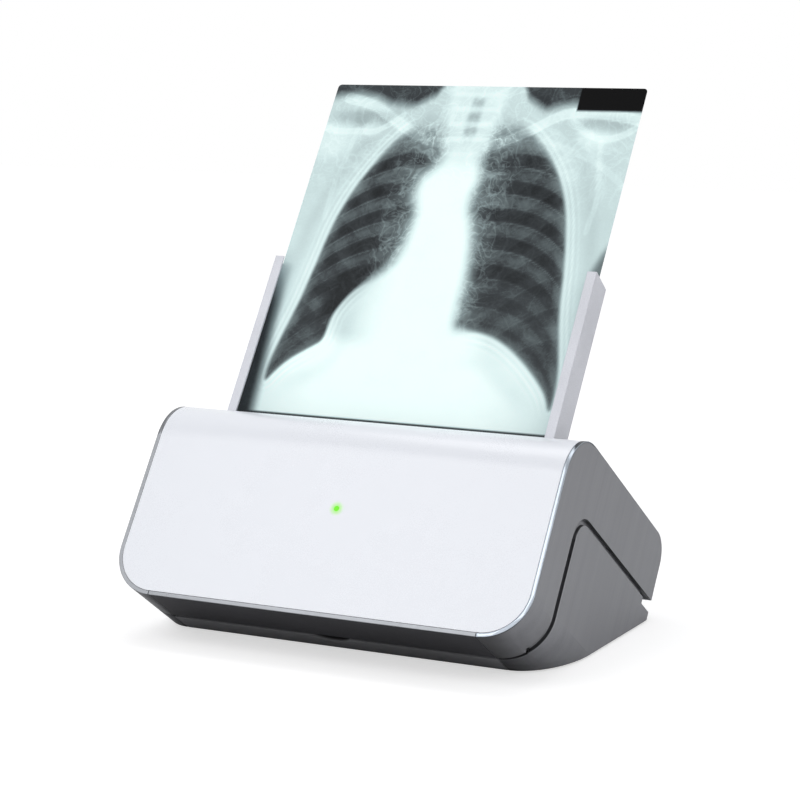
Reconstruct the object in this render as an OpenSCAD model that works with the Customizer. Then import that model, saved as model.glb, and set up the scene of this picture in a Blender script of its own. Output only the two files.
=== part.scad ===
/* [Film] */
// Width of the film sheet, 14 in
film_w = 355.6; // [300:0.1:420]
// Length of the film sheet, 17 in
film_l = 431.8; // [350:0.1:500]
// Thickness of the film sheet
film_t = 0.2; // [0.15:0.01:0.3]
// Radius of the film's corners
film_corner_r = 4; // [2:0.5:8]
// Length of film that stands inside the body at rest
film_in = 30.8; // [28:0.1:34]
/* [Body] */
// Lean of the panel and the film from upright, in degrees
lean = 34.2; // [28:0.1:40]
// Width of the bay between the film's edge and the outer side
side_bay = 43.7; // [42:0.1:60]
// Height of the front panel, along its face
panel_h = 217; // [205:1:240]
// Distance from the film to the front face
panel_n = 59; // [58:0.5:70]
// Distance from the film to the rear face
rear_n = 220; // [212:1:250]
// Radius of the rounded ridge on top
apex_r = 50; // [44:1:54]
// Radius of the rounded rear edge
rear_r = 25; // [18:1:28]
// Radius of the lower corners, seen from the front
corner_r = 47; // [42:1:50]
// Height of the panel's lower edge over the desk
panel_edge_h = 50.7; // [46:0.1:54]
/* [Walls] */
// Thickness of the side cheeks and the width of their polished rim
wall = 4.3; // [3.5:0.1:5]
// Thickness of the front panel
panel_t = 3; // [2:0.1:3.5]
// Thickness of the rear cover's sheet
sheet_t = 2.5; // [2:0.1:3]
// Depth of the polished rim strips
trim_d = 1.2; // [0.8:0.1:1.6]
// Thickness of the inner steel plates
plate_t = 3; // [2.5:0.1:4]
// Thickness of the folded inner sheets
fold_t = 2; // [1.5:0.1:2.2]
/* [Seam] */
// Depth of the cover at the side, from its top face to the seam
seam_h = 65; // [64:0.5:72]
// Width of the seam under the cover
seam_gap = 5.5; // [5:0.1:7]
// Distance from the film to the cover's edge at the side
cover_seam_n = 10.2; // [9.5:0.1:12]
// Radius of the cover's inner corner
cover_seam_r = 30; // [26:1:34]
// Distance from the film to the base's edge at the side
base_seam_n = 0.4; // [0.2:0.1:0.6]
// Radius of the base's upper front corner
base_seam_r = 21; // [18:1:24]
// Length of the lowered shelf at the rear of the base
shelf_l = 24; // [22:1:26]
// Drop of that shelf
shelf_drop = 6.8; // [6.5:0.1:8]
// Distance from the film to the front edge of the exit slot
exit_front_n = 4.5; // [4:0.1:6]
// Distance from the film to the rear edge of the exit slot
exit_rear_n = 0.7; // [0.5:0.1:1.2]
// Reach of the base's inner lip across the seam
lip_reach = 9.5; // [8:0.1:9.7]
// Thickness of that lip
lip_t = 3.2; // [2.5:0.1:4]
// Distance from the outer side to the end of the lip and the exit slot
lip_side = 19.5; // [16:0.5:24]
/* [Finger notch] */
// Width of the notch at the seam
notch_w = 40; // [36:1:48]
// Depth of the notch, back from the seam
notch_d = 10; // [9:0.5:12]
// Height of the notch, up from the underside
notch_h = 12; // [11:0.5:14]
/* [Film entry] */
// Distance from the film to the bezel's front edge
bezel_front_n = 17; // [16.5:0.5:20]
// Distance from the film to the bezel's rear edge
bezel_rear_n = 20; // [19:0.5:24]
// Thickness of the bezel
bezel_t = 3; // [2.5:0.1:3.5]
// Width of the film slot
slot_w = 4; // [3.5:0.1:5]
// Depth of the two lips that lead the film to the rollers
lead_d = 14; // [12:0.5:15]
/* [Film guides] */
// Height of the film guides over the top face
guide_h = 182; // [150:1:200]
// Distance from the film to a guide's front face
guide_front_n = 14.5; // [13:0.1:15.5]
// Distance from the film to a guide's rear face
guide_rear_n = 17.6; // [16:0.1:18.5]
// Width of a guide, seen from the front
guide_w = 10; // [9:0.1:12]
// Wall of a guide
guide_wall = 2; // [1.5:0.1:2.2]
// Drop of a guide's sloped end from front to rear
guide_slope = 3; // [1:0.5:6]
// Depth at which a guide stands in its shoe
guide_foot = 10; // [9:0.5:11]
/* [Rollers] */
// Radius of the rubber sleeves
roller_r = 10; // [9.5:0.1:10.2]
// Radius of the steel shafts
shaft_r = 4; // [3.5:0.1:5]
// Space between the film and each sleeve
nip_gap = 0.2; // [0.2:0.05:0.3]
// Depth of the upper nip under the top face
upper_nip = 27; // [26:0.5:28]
// Height of the lower nip over the underside
lower_nip_up = 52; // [48:1:60]
// Distance from the film's edge to a sleeve's end
sleeve_in = 5.8; // [4:0.1:10]
// Radius of the bearing bushes
bush_r = 6; // [5.5:0.1:6.2]
// Running clearance of a shaft in its bush
run_gap = 0.05; // [0.02:0.01:0.08]
/* [Drive] */
// Side of the square motor
motor_w = 42; // [38:1:44]
// Length of the motor
motor_l = 34; // [25:1:50]
// Radius of the motor's shaft
motor_shaft_r = 2.5; // [2:0.1:3]
// Radius of the pulleys on the drive rollers
pulley_r = 9; // [7:0.5:10]
// Radius of the motor's pulley
motor_pulley_r = 6; // [5:0.5:8]
// Length of the pulleys
pulley_w = 8; // [7:0.5:9]
// Thickness of the belt
belt_t = 1.2; // [0.8:0.1:1.5]
// Width of the belt
belt_w = 6; // [5:0.5:6.5]
/* [Optics] */
// Depth of the scan line under the top face
scan_z = 45; // [45:0.5:46]
// Height of the light window
light_h = 8; // [6:0.5:8]
// Radius of the lens barrel
lens_r = 12; // [10:0.5:14]
// Distance from the film to the lens
lens_n = 118; // [105:1:120]
// Length of the lens barrel
lens_l = 32; // [25:1:34]
// Width of the camera housing
camera_w = 64; // [50:1:80]
// Length of the camera housing
camera_l = 38; // [30:1:40]
/* [Hinge] */
// Radius of the hinge knuckles
knuckle_r = 5.2; // [4.8:0.1:5.4]
// Radius of the hinge pins
pin_r = 2.5; // [2:0.1:3]
// Distance of each hinge from the side plate
hinge_side = 36; // [26:1:66]
// Width of the base's ear
ear_w = 8; // [6:0.5:10]
// Width of each knuckle on the cover
knuckle_w = 8.7; // [7:0.1:10]
// Distance from the rear face to the hinge axis
hinge_in = 10.5; // [10:0.1:11]
// Distance from the cover's lower edge down to the hinge axis
hinge_drop = 3.5; // [3:0.1:4]
/* [Status light] */
// Radius of the light pipe
pipe_r = 2.7; // [1.5:0.1:3]
// Length of the light pipe
pipe_l = 13; // [10:0.5:16]
/* [Connections] */
// Place of the power switch from the middle
switch_x = -90; // [-110:1:-60]
// Distance from the main board's inner edge to the power jack's middle
jack_side = 42; // [38:1:50]
// Distance from the main board's inner edge to the data port's middle
port_side = 16; // [12:1:22]
/* [Feet] */
// Height of the rubber feet
foot_h = 1.8; // [1.5:0.1:2.4]
// Radius of the rubber feet
foot_r = 9; // [7:0.5:12]
// Thickness of the steel bottom plate
bottom_t = 3; // [2:0.5:4]
/* [Hidden] */
$fn = 64;
// Overrun of every cut
over = 1;
// Hairline between pieces that are seated on each other
seat = 0.15;
// Clearance between pieces that move past each other
clear = 0.3;
// Spare length at the ends of shafts and bushes, and round a roller in its window
end_gap = 1;
window_gap = 1;
// A length that is longer than the whole body
reach = 2 * film_l;
// Width of the body over its cheeks
body_w = film_w + 2 * side_bay;
half_w = body_w / 2;
// Where the cheek ends and the straight underside begins
cheek_x = half_w - corner_r;
// Inner face of a cheek
bay_x = half_w - wall;
// Height of the top face's crossing with the film over the desk: the panel's lower edge sets it,
// and the cover's lower rear edge needs its own room over the bottom plate
rear_room = 19.5;
panel_rise = panel_edge_h + panel_h * cos(lean) - panel_n * sin(lean);
rear_rise = rear_room + seam_h * cos(lean) + rear_n * sin(lean);
film_z = max(panel_rise, rear_rise);
// Length of film that stands over the top face
film_top = film_l - film_in;
// The origin lies under the middle of the whole outline, film and all
front_y = -panel_h * sin(lean) - panel_n * cos(lean);
back_y = film_top * sin(lean) + film_t / 2 * cos(lean);
film_y = -(front_y + back_y) / 2;
// Height of the base's underside over the desk, and of the space over its bottom plate
base_z = foot_h;
inner_z = foot_h + bottom_t + seat;
// Outer and inner face of the side plates
plate_room = 8.2;
plate_x = film_w / 2 + plate_room;
plate_end = plate_x + plate_t;
// Lowest level at which a plate still fits inside the round lower corners
corner_in = corner_r - wall - seat;
plate_low = -panel_h + corner_r - sqrt(corner_in * corner_in - (plate_end - cheek_x) * (plate_end - cheek_x));
// Distance from the film to the sheets that lead it
path_n = 1.2;
// Centre distance of every roller from the film
axis_n = roller_r + nip_gap + film_t / 2;
upper_z = -upper_nip;
lower_z = -panel_h + lower_nip_up;
sleeve_half = film_w / 2 - sleeve_in;
// Hinge axis, in the leaned frame
hinge_x = plate_x - hinge_side;
hinge_y = rear_n - hinge_in;
hinge_z = -seam_h - hinge_drop;
// Where the underside and the rear meet the base's bottom, in the body frame and on the desk
desk_front_n = (film_z - base_z - panel_h * cos(lean)) / sin(lean);
desk_rear_z = (base_z - film_z + rear_n * sin(lean)) / cos(lean);
desk_front_y = film_y + desk_front_n * cos(lean) - panel_h * sin(lean);
desk_rear_y = film_y + rear_n * cos(lean) + desk_rear_z * sin(lean);
desk_l = desk_rear_y - desk_front_y;
// Height of the base's deck, and where its shelf begins
deck_z = -seam_h - seam_gap;
shelf_y = rear_n - shelf_l;
shelf_z = deck_z - shelf_drop;
// The deck and its sheets are set in from the base's outline by this much
deck_in = base_seam_n + path_n;
// Motor axis, halfway between the nips and close behind the panel
motor_room = 1.5;
motor_y = -(panel_n - panel_t - motor_w / 2 - motor_room);
motor_z = (upper_z + lower_z) / 2;
// Room between the bushes and the pulleys, and the bushes' reach past the plates
bush_out = 6.5;
bush_in = 1.5;
flange_t = 1.2;
flange_r = bush_r + flange_t;
pulley_x = plate_end + bush_out + end_gap;
pulley_rim = 0.8;
// Tray that closes the cover from below, and the boards on it
tray_z = -seam_h + fold_t;
standoff_h = 4;
standoff_r = 3;
board_t = 1.6;
board_z = tray_z + standoff_h;
board_top = board_z + board_t;
board_side = 8;
board_back = 6;
board_w = 116;
board_l = 118;
board_x = plate_x - board_side - board_w;
board_y = rear_n - board_back - board_l;
hole_in = 6;
hole_back = 24;
chip_side = 24;
chip_pitch = 38;
chip_h = 3;
chip_in = 12;
ram_n = 3;
ram_w = 10;
ram_l = 14;
ram_pitch = 16;
can_n = 4;
can_r = 5;
can_h = 16;
can_pitch = 13;
can_x = 90;
// Connections in the rear wall
jack_x = board_x + jack_side;
port_x = board_x + port_side;
jack_w = 11;
jack_l = 14;
jack_bore_r = 2.75;
jack_hole_r = 3.75;
jack_pin_r = 1;
jack_pin_in = 1;
port_w = 12;
port_h = 11;
port_l = 19;
port_wall = 0.8;
port_in = 1;
tongue_w = 5.6;
tongue_h = 3.2;
switch_w = 23;
switch_h = 17;
switch_back = 2.5;
switch_side = 1.5;
switch_d = 15;
switch_lip = 1.5;
switch_z = -(rear_r + seam_h) / 2;
rocker_w = 16;
rocker_rise = 1.1;
rocker_tilt = 8;
rocker_gap = 1;
rocker_pin_r = 1;
rocker_pin_out = 1;
rocker_deep = 4.5;
rocker_side = 4;
// Vents in the rear cover
vent_n = 12;
vent_pitch = 8;
vent_w = 3;
vent_l = 62;
vent_x = 78;
vent_back = 36;
vent_y = rear_n - vent_back - vent_l;
// Shoes under the film guides
shoe_t = 3;
// Square rails between the side plates, and their distance from the shell
rail_w = 12;
rail_wall = 1.5;
rail_in = 3;
// Lamps behind the diffuser, on a board with a finned bar
led_n = 30;
led_side = 3;
led_h = 1;
led_gap = 2;
led_y = -path_n - 2 * fold_t - seat - led_gap;
fin_n = 3;
fin_l = 12;
// Duct, lens and line camera
duct_wall = 1.2;
duct_h = 14;
lens_ring = 2;
lens_ring_l = 8;
lens_hollow = 4;
lens_room = 3;
lens_z = max(-scan_z, tray_z + lens_r + lens_ring + lens_room);
camera_top = 17;
camera_fin_n = 6;
camera_fin_d = 6;
camera_slot_w = 2;
// End bells of the motor, and how far its core stands in
bell_l = 8;
core_in = 0.5;
// Free end of the drive rollers' shafts, past the right plate
shaft_out = 4;
// Leaf springs behind the idlers
leaf_t = 0.8;
leaf_w = 4.5;
leaf_up = 6;
leaf_down = 28;
leaf_post_r = 3;
// Status board and its two posts
status_w = 22;
status_h = 14;
post_r = 2.5;
post_x = 7.5;
collar_r = pipe_r + 1;
collar_t = 1;
// Catch: magnets in the base pull on tabs of the cover's side plates
magnet_r = 5;
magnet_l = 6;
magnet_up = 22;
tab_w = 12;
tab_h = 14;
magnet_x = plate_end + tab_w / 2;
// Screws in the bottom plate
screw_r = 1.5;
screw_head_r = 3;
screw_head_h = 1.2;
screw_l = 8;
screw_in = 48;
foot_flange = 14;
screw_x = plate_x - foot_flange / 2;
foot_side = 60;
foot_front = 22;
foot_back = 20;
// Leaves and feet of the hinges
hinge_leaf_l = 16;
ear_foot_w = 24;
// How far the base's lip stands in from the side view
lip_in = 1;
// Wall round the finger notch, and the radius and place of its round back
notch_wall = 4;
notch_r = (notch_w * notch_w / 4 + notch_d * notch_d) / (2 * notch_d);
notch_y = exit_rear_n + notch_d - notch_r;

// Body frame: x to the right, y back from the film, z up along the film
module leaned() {
    translate([0, film_y, film_z]) rotate([-lean, 0, 0]) children();
}
// Takes a shape of the desk's frame into the body frame
module unleaned() {
    rotate([lean, 0, 0]) translate([0, -film_y, -film_z]) children();
}
// A drawing of y and z, drawn out along x
module along_x(x0, x1) {
    translate([x0, 0, 0]) rotate([90, 0, 90]) linear_extrude(height = x1 - x0) children();
}
// A drawing of x and z, drawn out along y
module along_y(y0, y1) {
    translate([0, y1, 0]) rotate([90, 0, 0]) linear_extrude(height = y1 - y0) children();
}
// A drawing of x and y, drawn out along z
module along_z(z0, z1) {
    translate([0, 0, z0]) linear_extrude(height = z1 - z0) children();
}
module block(low, high) {
    translate(low) cube(high - low);
}
// A cylinder along x
module rod(x0, x1, y, z, r) {
    translate([x0, y, z]) rotate([0, 90, 0]) cylinder(h = x1 - x0, r = r);
}
// A cylinder along y
module stud(y0, y1, x, z, r) {
    translate([x, y1, z]) rotate([90, 0, 0]) cylinder(h = y1 - y0, r = r);
}
module both_sides() {
    children();
    mirror([1, 0, 0]) children();
}
// Everything over a level of the desk's frame
module above(z) {
    unleaned() translate([-reach, -reach, z]) cube(2 * reach);
}

// Side view of the whole body, set in by i
module side_2d(i = 0) {
    ridge = -panel_n + apex_r;
    tail = rear_n - rear_r;
    translate([-panel_n + i, -panel_h + i]) square([apex_r - i, panel_h - apex_r - i]);
    translate([ridge, -panel_h + i]) square([tail - ridge, panel_h - 2 * i]);
    translate([tail, -panel_h + i]) square([rear_r - i, panel_h - rear_r - i]);
    translate([ridge, -apex_r]) circle(r = apex_r - i);
    translate([tail, -rear_r]) circle(r = rear_r - i);
}
// Front view of the body, open at the top, set in by i
module front_2d(i = 0, top = over) {
    side = half_w - corner_r;
    translate([-half_w + i, -panel_h + corner_r]) square([body_w - 2 * i, panel_h - corner_r + top]);
    translate([-side, -panel_h + i]) square([2 * side, corner_r]);
    for (x = [-side, side]) {
        translate([x, -panel_h + corner_r]) circle(r = corner_r - i);
    }
}
module front_ring_2d(outer, inner) {
    difference() {
        front_2d(outer);
        front_2d(inner, 2 * over);
    }
}
module side_ring_2d(outer, inner) {
    difference() {
        side_2d(outer);
        side_2d(inner);
    }
}
// Everything behind and under a seam, with a rounded upper front corner
module seam_2d(n, z, r) {
    translate([-n, z - r - reach]) square([reach, reach]);
    translate([-n + r, z - reach]) square([reach, reach]);
    translate([-n + r, z - r]) circle(r = r);
}
module cover_2d(n = cover_seam_n) {
    difference() {
        side_2d();
        seam_2d(n, -seam_h, cover_seam_r);
    }
}
// Side view of the base, set in by i
module base_2d(i = 0) {
    difference() {
        intersection() {
            side_2d(i);
            seam_2d(base_seam_n - i, deck_z - i, base_seam_r - i);
        }
        translate([shelf_y - i, shelf_z - i]) square([reach, reach]);
    }
}
// The front face and the ridge, where the polished rim runs
module trim_2d(depth) {
    ridge = -panel_n + apex_r;
    intersection() {
        side_ring_2d(0, depth);
        union() {
            translate([-panel_n - over, -panel_h - over]) square([depth + over, panel_h]);
            translate([-panel_n - over, -apex_r]) square([ridge + panel_n + over, apex_r + over]);
        }
    }
}

// White front panel, from the lower rim up over the ridge to the film entry
module front_panel() {
    color("aliceblue") leaned() {
        difference() {
            intersection() {
                along_y(-reach, reach) front_2d(wall + seat);
                along_x(-half_w, half_w) intersection() {
                    side_ring_2d(0, panel_t);
                    translate([-panel_n - over, -panel_h])
                        square([panel_n - bezel_front_n - seat + over, panel_h + over]);
                }
            }
            stud(-panel_n - over, -panel_n + panel_t + over, 0, -panel_h / 2, pipe_r + seat);
        }
        for (side = [-1, 1]) {
            stud(-panel_n + panel_t / 2, -panel_n + pipe_l - seat, side * post_x, -panel_h / 2, post_r);
        }
    }
}
// Cheek: side wall and lower corner; its edge lies nearer to the film along the exit slot
module cover_cheek_shape() {
    lip_x = half_w - lip_side;
    intersection() {
        along_y(-reach, reach) front_ring_2d(0, wall);
        union() {
            along_x(cheek_x + seat, lip_x) difference() {
                cover_2d(exit_front_n);
                trim_2d(trim_d + seat);
            }
            along_x(lip_x, half_w + over) difference() {
                cover_2d();
                trim_2d(trim_d + seat);
            }
        }
    }
}
module right_cheek() {
    color("darkgray") leaned() cover_cheek_shape();
}
module left_cheek() {
    color("darkgray") leaned() mirror([1, 0, 0]) cover_cheek_shape();
}
module trim_shape(x0, x1) {
    intersection() {
        along_y(-reach, reach) front_ring_2d(0, wall);
        along_x(x0, x1) trim_2d(trim_d);
    }
}
module right_trim() {
    color("gainsboro") leaned() trim_shape(cheek_x + seat, half_w + over);
}
module left_trim() {
    color("gainsboro") leaned() mirror([1, 0, 0]) trim_shape(cheek_x + seat, half_w + over);
}
module bottom_trim() {
    color("gainsboro") leaned() trim_shape(-cheek_x + seat, cheek_x - seat);
}
// Dark underside of the cover, between the cheeks
module lower_strip() {
    front = -panel_n + trim_d + seat;
    color("dimgray") leaned() along_x(-cheek_x + seat, cheek_x - seat)
        translate([front, -panel_h]) square([-exit_front_n - front, wall]);
}
// Rear cover: the rear slope and the rear wall, with vents and the connections' cut-outs
module rear_cover() {
    inner = bay_x - seat;
    start = bezel_rear_n + seat;
    color("silver") leaned() difference() {
        along_x(-inner, inner) intersection() {
            side_ring_2d(0, sheet_t);
            translate([start, -seam_h]) square([reach, reach]);
        }
        both_sides() for (i = [0 : vent_n - 1]) {
            block([vent_x + i * vent_pitch, vent_y, -sheet_t - over],
                [vent_x + i * vent_pitch + vent_w, vent_y + vent_l, over]);
        }
        block([port_x - port_w / 2 - clear, rear_n - sheet_t - over, board_top],
            [port_x + port_w / 2 + clear, rear_n + over, board_top + port_h + 2 * clear]);
        stud(rear_n - sheet_t - over, rear_n + over, jack_x, board_top + seat + jack_w / 2,
            jack_hole_r);
        block([switch_x - switch_w / 2 + switch_lip, rear_n - sheet_t - over,
                switch_z - switch_h / 2 + switch_lip],
            [switch_x + switch_w / 2 - switch_lip, rear_n + over, switch_z + switch_h / 2 - switch_lip]);
    }
}
module guide_section_2d(grow = 0) {
    x = film_w / 2 + 2 * nip_gap + guide_wall - guide_w;
    translate([x - grow, -guide_front_n - grow])
        square([guide_w + 2 * grow, guide_front_n + guide_rear_n + 2 * grow]);
}
// Dark strip in the top face, with the film slot, the guides' sockets and the lead-in lips
module entry_bezel() {
    inner = bay_x - seat;
    lip_x = film_w / 2 + guide_wall - guide_w - end_gap;
    color("dimgray") leaned() {
        difference() {
            along_x(-inner, inner) intersection() {
                side_ring_2d(0, bezel_t);
                translate([-bezel_front_n, -bezel_t - over])
                    square([bezel_front_n + bezel_rear_n, bezel_t + 2 * over]);
            }
            block([-film_w / 2, -slot_w / 2, -bezel_t - over], [film_w / 2, slot_w / 2, over]);
            both_sides() along_z(-bezel_t - over, over) guide_section_2d(seat);
        }
        for (side = [0, 1]) {
            mirror([0, side, 0])
                block([-lip_x, slot_w / 2, -lead_d], [lip_x, slot_w / 2 + fold_t, -bezel_t / 2]);
        }
    }
}
// Film guide: a front lip, a web beside the film's edge and a hollow back that the film leans on
module guide_shape() {
    x1 = film_w / 2 + 2 * nip_gap + guide_wall;
    x0 = x1 - guide_w;
    back = path_n - nip_gap;
    intersection() {
        along_z(-guide_foot, guide_h) difference() {
            guide_section_2d();
            translate([x0 - over, -guide_front_n + guide_wall])
                square([guide_w - guide_wall + over, guide_front_n - guide_wall + back]);
            translate([x0 + guide_wall, back + guide_wall])
                square([guide_w - 2 * guide_wall, guide_rear_n - back - 2 * guide_wall]);
        }
        along_x(x0 - over, x1 + over) polygon([
            [-guide_front_n - over, -guide_foot - over],
            [-guide_front_n - over, guide_h],
            [guide_rear_n + over, guide_h - guide_slope],
            [guide_rear_n + over, -guide_foot - over]
        ]);
    }
}
module right_film_guide() {
    color("lightgray") leaned() guide_shape();
}
module left_film_guide() {
    color("lightgray") leaned() mirror([1, 0, 0]) guide_shape();
}
// Sheet in front of the film, with windows for the light and the lower drive roller
module front_guide_plate() {
    inner = plate_x - seat;
    window_x = sleeve_half + window_gap;
    window_h = roller_r + window_gap;
    color("gray") leaned() difference() {
        block([-inner, -path_n - fold_t, -panel_h + wall + seat],
            [inner, -path_n, upper_z - window_h]);
        block([-film_w / 2, -path_n - fold_t - over, -scan_z - light_h / 2],
            [film_w / 2, over, -scan_z + light_h / 2]);
        block([-window_x, -path_n - fold_t - over, lower_z - window_h],
            [window_x, over, lower_z + window_h]);
    }
}
// Folded sheet: the guide behind the film and the tray that carries the camera and the board
module cover_tray() {
    inner = plate_x - seat;
    rear = rear_n - sheet_t - seat;
    slit_h = light_h / 2;
    gap_x = ear_w / 2 + knuckle_w + end_gap;
    color("gray") leaned() {
        difference() {
            union() {
                block([-inner, path_n, -seam_h], [inner, rear, tray_z]);
                block([-inner, path_n, -seam_h], [inner, path_n + fold_t, upper_z - roller_r - window_gap]);
            }
            block([-film_w / 2, -over, -scan_z - slit_h / 2],
                [film_w / 2, path_n + fold_t + over, -scan_z + slit_h / 2]);
            both_sides() block([hinge_x - gap_x, hinge_y - knuckle_r - end_gap, -seam_h - over],
                [hinge_x + gap_x, rear + over, tray_z + over]);
        }
        for (x = [board_x + hole_in, board_x + board_w - hole_in]) {
            for (y = [board_y + hole_in, board_y + board_l - hole_back]) {
                translate([x, y, tray_z - over]) cylinder(h = standoff_h + over - seat, r = standoff_r);
            }
        }
    }
}
module bush_hole_2d(y, z) {
    translate([y, z]) circle(r = bush_r + seat / 2);
}
// Steel side plate: carries the rollers, the film guide's shoe and the catch's tab
module side_plate_shape() {
    shoe_z = -guide_foot - seat;
    shoe_x = film_w / 2 + guide_wall - guide_w;
    tab_z = -panel_h + magnet_up;
    along_x(plate_x, plate_end) difference() {
        side_2d(panel_t + seat);
        seam_2d(path_n, -seam_h, fold_t);
        translate([-reach, plate_low - reach]) square([2 * reach, reach]);
        bush_hole_2d(-axis_n, upper_z);
        bush_hole_2d(-axis_n, lower_z);
        bush_hole_2d(axis_n, upper_z);
        translate([motor_y, motor_z]) circle(r = motor_w / 4 + clear);
    }
    difference() {
        block([shoe_x, -guide_front_n, shoe_z - shoe_t], [plate_x + over, guide_rear_n, shoe_z]);
        block([shoe_x - over, -path_n, shoe_z - shoe_t - over],
            [film_w / 2 + 2 * nip_gap, path_n, shoe_z + over]);
    }
    block([plate_x + over, -path_n - fold_t, tab_z - tab_h / 2],
        [plate_end + tab_w, -path_n, tab_z + tab_h / 2]);
    rod(plate_end - over, plate_end + bush_out, axis_n + bush_r + clear + leaf_t + seat + leaf_post_r,
        upper_z - leaf_down, leaf_post_r);
}
module right_side_plate() {
    color("slategray") leaned() side_plate_shape();
}
module left_side_plate() {
    color("slategray") leaned() mirror([1, 0, 0]) side_plate_shape();
}
module rail_shape(y, z) {
    inner = plate_x - seat;
    along_x(-inner, inner) translate([y, z]) difference() {
        square(rail_w);
        translate([rail_wall, rail_wall]) square(rail_w - 2 * rail_wall);
    }
}
// Three square rails that hold the side plates apart
module cross_rails() {
    color("lightslategray") leaned() {
        rail_shape(-axis_n - roller_r - rail_in - rail_w, upper_z);
        rail_shape(-panel_n + panel_t + rail_in, -panel_h + wall + rail_in);
        rail_shape(rear_n - rear_r - rail_w / 2, -sheet_t - rail_in - rail_w);
    }
}
// A flanged bush along x, from its inner end to its outer end
module bush(x0, x1, y, z) {
    difference() {
        union() {
            rod(x0, x1, y, z, bush_r);
            rod(plate_end + seat, plate_end + seat + flange_t, y, z, flange_r);
        }
        rod(x0 - over, x1 + over, y, z, shaft_r + run_gap);
    }
}
module cover_bearings() {
    color("goldenrod") leaned() both_sides() {
        bush(plate_x - bush_in, plate_end + flange_t + seat, -axis_n, upper_z);
        bush(plate_x - bush_in, plate_end + flange_t + seat, -axis_n, lower_z);
        bush(plate_x - bush_in, plate_end + bush_out, axis_n, upper_z);
    }
}
// A leaf spring that rests on its post and presses on the outer end of an idler's bush
module leaf_shape(z) {
    y = axis_n + bush_r + clear;
    x = plate_end + bush_out - leaf_w;
    block([x, y, z - leaf_down - leaf_up], [x + leaf_w, y + leaf_t, z + leaf_up]);
}
module upper_idler_springs() {
    color("lightsteelblue") leaned() both_sides() leaf_shape(upper_z);
}
module light_diffuser() {
    inner = plate_x - seat;
    front = -path_n - fold_t - seat;
    color("white") leaned() block([-inner, front - fold_t, -scan_z - light_h / 2],
        [inner, front, -scan_z + light_h / 2]);
}
// Strip of lamps behind the diffuser
module led_strip() {
    inner = plate_x - seat;
    pitch = film_w / led_n;
    color("seagreen") leaned() {
        block([-inner, led_y - board_t, -scan_z - light_h / 2], [inner, led_y, -scan_z + light_h / 2]);
        for (i = [1 : led_n]) {
            x = -film_w / 2 + i * pitch - pitch / 2;
            block([x - led_side / 2, led_y - board_t / 2, -scan_z - led_side / 2],
                [x + led_side / 2, led_y + led_h, -scan_z + led_side / 2]);
        }
    }
}
// Finned bar that cools the lamps
module light_heat_sink() {
    inner = plate_x - seat;
    back = led_y - board_t - seat;
    pitch = (light_h - fold_t) / (fin_n - 1);
    color("gray") leaned() along_x(-inner, inner) {
        translate([back - fold_t, -scan_z - light_h / 2]) square([fold_t, light_h]);
        for (i = [0 : fin_n - 1]) {
            translate([back - fold_t - fin_l, -scan_z - light_h / 2 + i * pitch])
                square([fin_l + over, fold_t]);
        }
    }
}
// Black duct that narrows from the scan slit to the lens
module duct_2d(i) {
    near = path_n + fold_t + seat;
    polygon([
        [-film_w / 2 + i, near], [film_w / 2 - i, near],
        [lens_r + duct_wall - i, lens_n - clear], [-lens_r - duct_wall + i, lens_n - clear]
    ]);
}
// Side view of the duct: it starts at the scan line and ends at the lens
module duct_side_2d(i) {
    near = path_n + fold_t;
    half = duct_h / 2 - i;
    low = max(-scan_z - duct_h / 2, tray_z + seat) + i;
    polygon([
        [near, low], [near, -scan_z + half], [lens_n, lens_z + half], [lens_n, lens_z - half]
    ]);
}
module optical_duct() {
    color("dimgray") leaned() difference() {
        intersection() {
            along_z(-reach, reach) duct_2d(0);
            along_x(-half_w, half_w) duct_side_2d(0);
        }
        intersection() {
            along_z(-reach, reach) duct_2d(duct_wall);
            along_x(-half_w, half_w) duct_side_2d(duct_wall);
        }
    }
}
// Housing of the line camera, with cooling fins on its back
module camera_housing() {
    front = lens_n + lens_l + seat;
    pitch = camera_w / camera_fin_n;
    color("darkslategray") leaned() {
        difference() {
            block([-camera_w / 2, front, tray_z + seat],
                [camera_w / 2, front + camera_l, lens_z + camera_top]);
            for (i = [1 : camera_fin_n - 1]) {
                x = -camera_w / 2 + i * pitch;
                block([x - camera_slot_w / 2, front + camera_l - camera_fin_d, lens_z - camera_top],
                    [x + camera_slot_w / 2, front + camera_l + over, lens_z + camera_top + over]);
            }
        }
    }
}
// Lens barrel with its front ring
module camera_lens() {
    color("black") leaned() difference() {
        union() {
            stud(lens_n, lens_n + lens_l, 0, lens_z, lens_r);
            stud(lens_n + lens_l / 2, lens_n + lens_l / 2 + lens_ring_l, 0, lens_z, lens_r + lens_ring);
        }
        stud(lens_n - over, lens_n + lens_hollow, 0, lens_z, lens_r - lens_ring);
    }
}
module main_board() {
    color("seagreen") leaned()
        block([board_x, board_y, board_z], [board_x + board_w, board_y + board_l, board_top]);
}
// Chips, a heat sink and capacitors on the main board
module board_parts() {
    top = board_top + seat;
    x = board_x + chip_in;
    y = board_y + chip_in;
    color("dimgray") leaned() {
        block([x, y, top], [x + chip_side, y + chip_side, top + chip_h]);
        for (i = [0 : ram_n - 1]) {
            block([x + i * ram_pitch, y + chip_pitch, top],
                [x + i * ram_pitch + ram_w, y + chip_pitch + ram_l, top + chip_h]);
        }
        for (i = [0 : can_n - 1]) {
            translate([x + can_x, y + i * can_pitch, top]) cylinder(h = can_h, r = can_r);
        }
        block([x + chip_pitch, y, top], [x + chip_pitch + chip_side, y + chip_side, top + chip_h]);
        for (i = [0 : can_r - 1]) {
            fin_x = x + chip_pitch + i * can_r;
            block([fin_x, y, top + chip_h / 2], [fin_x + duct_wall, y + chip_side, top + can_h]);
        }
    }
}
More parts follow.
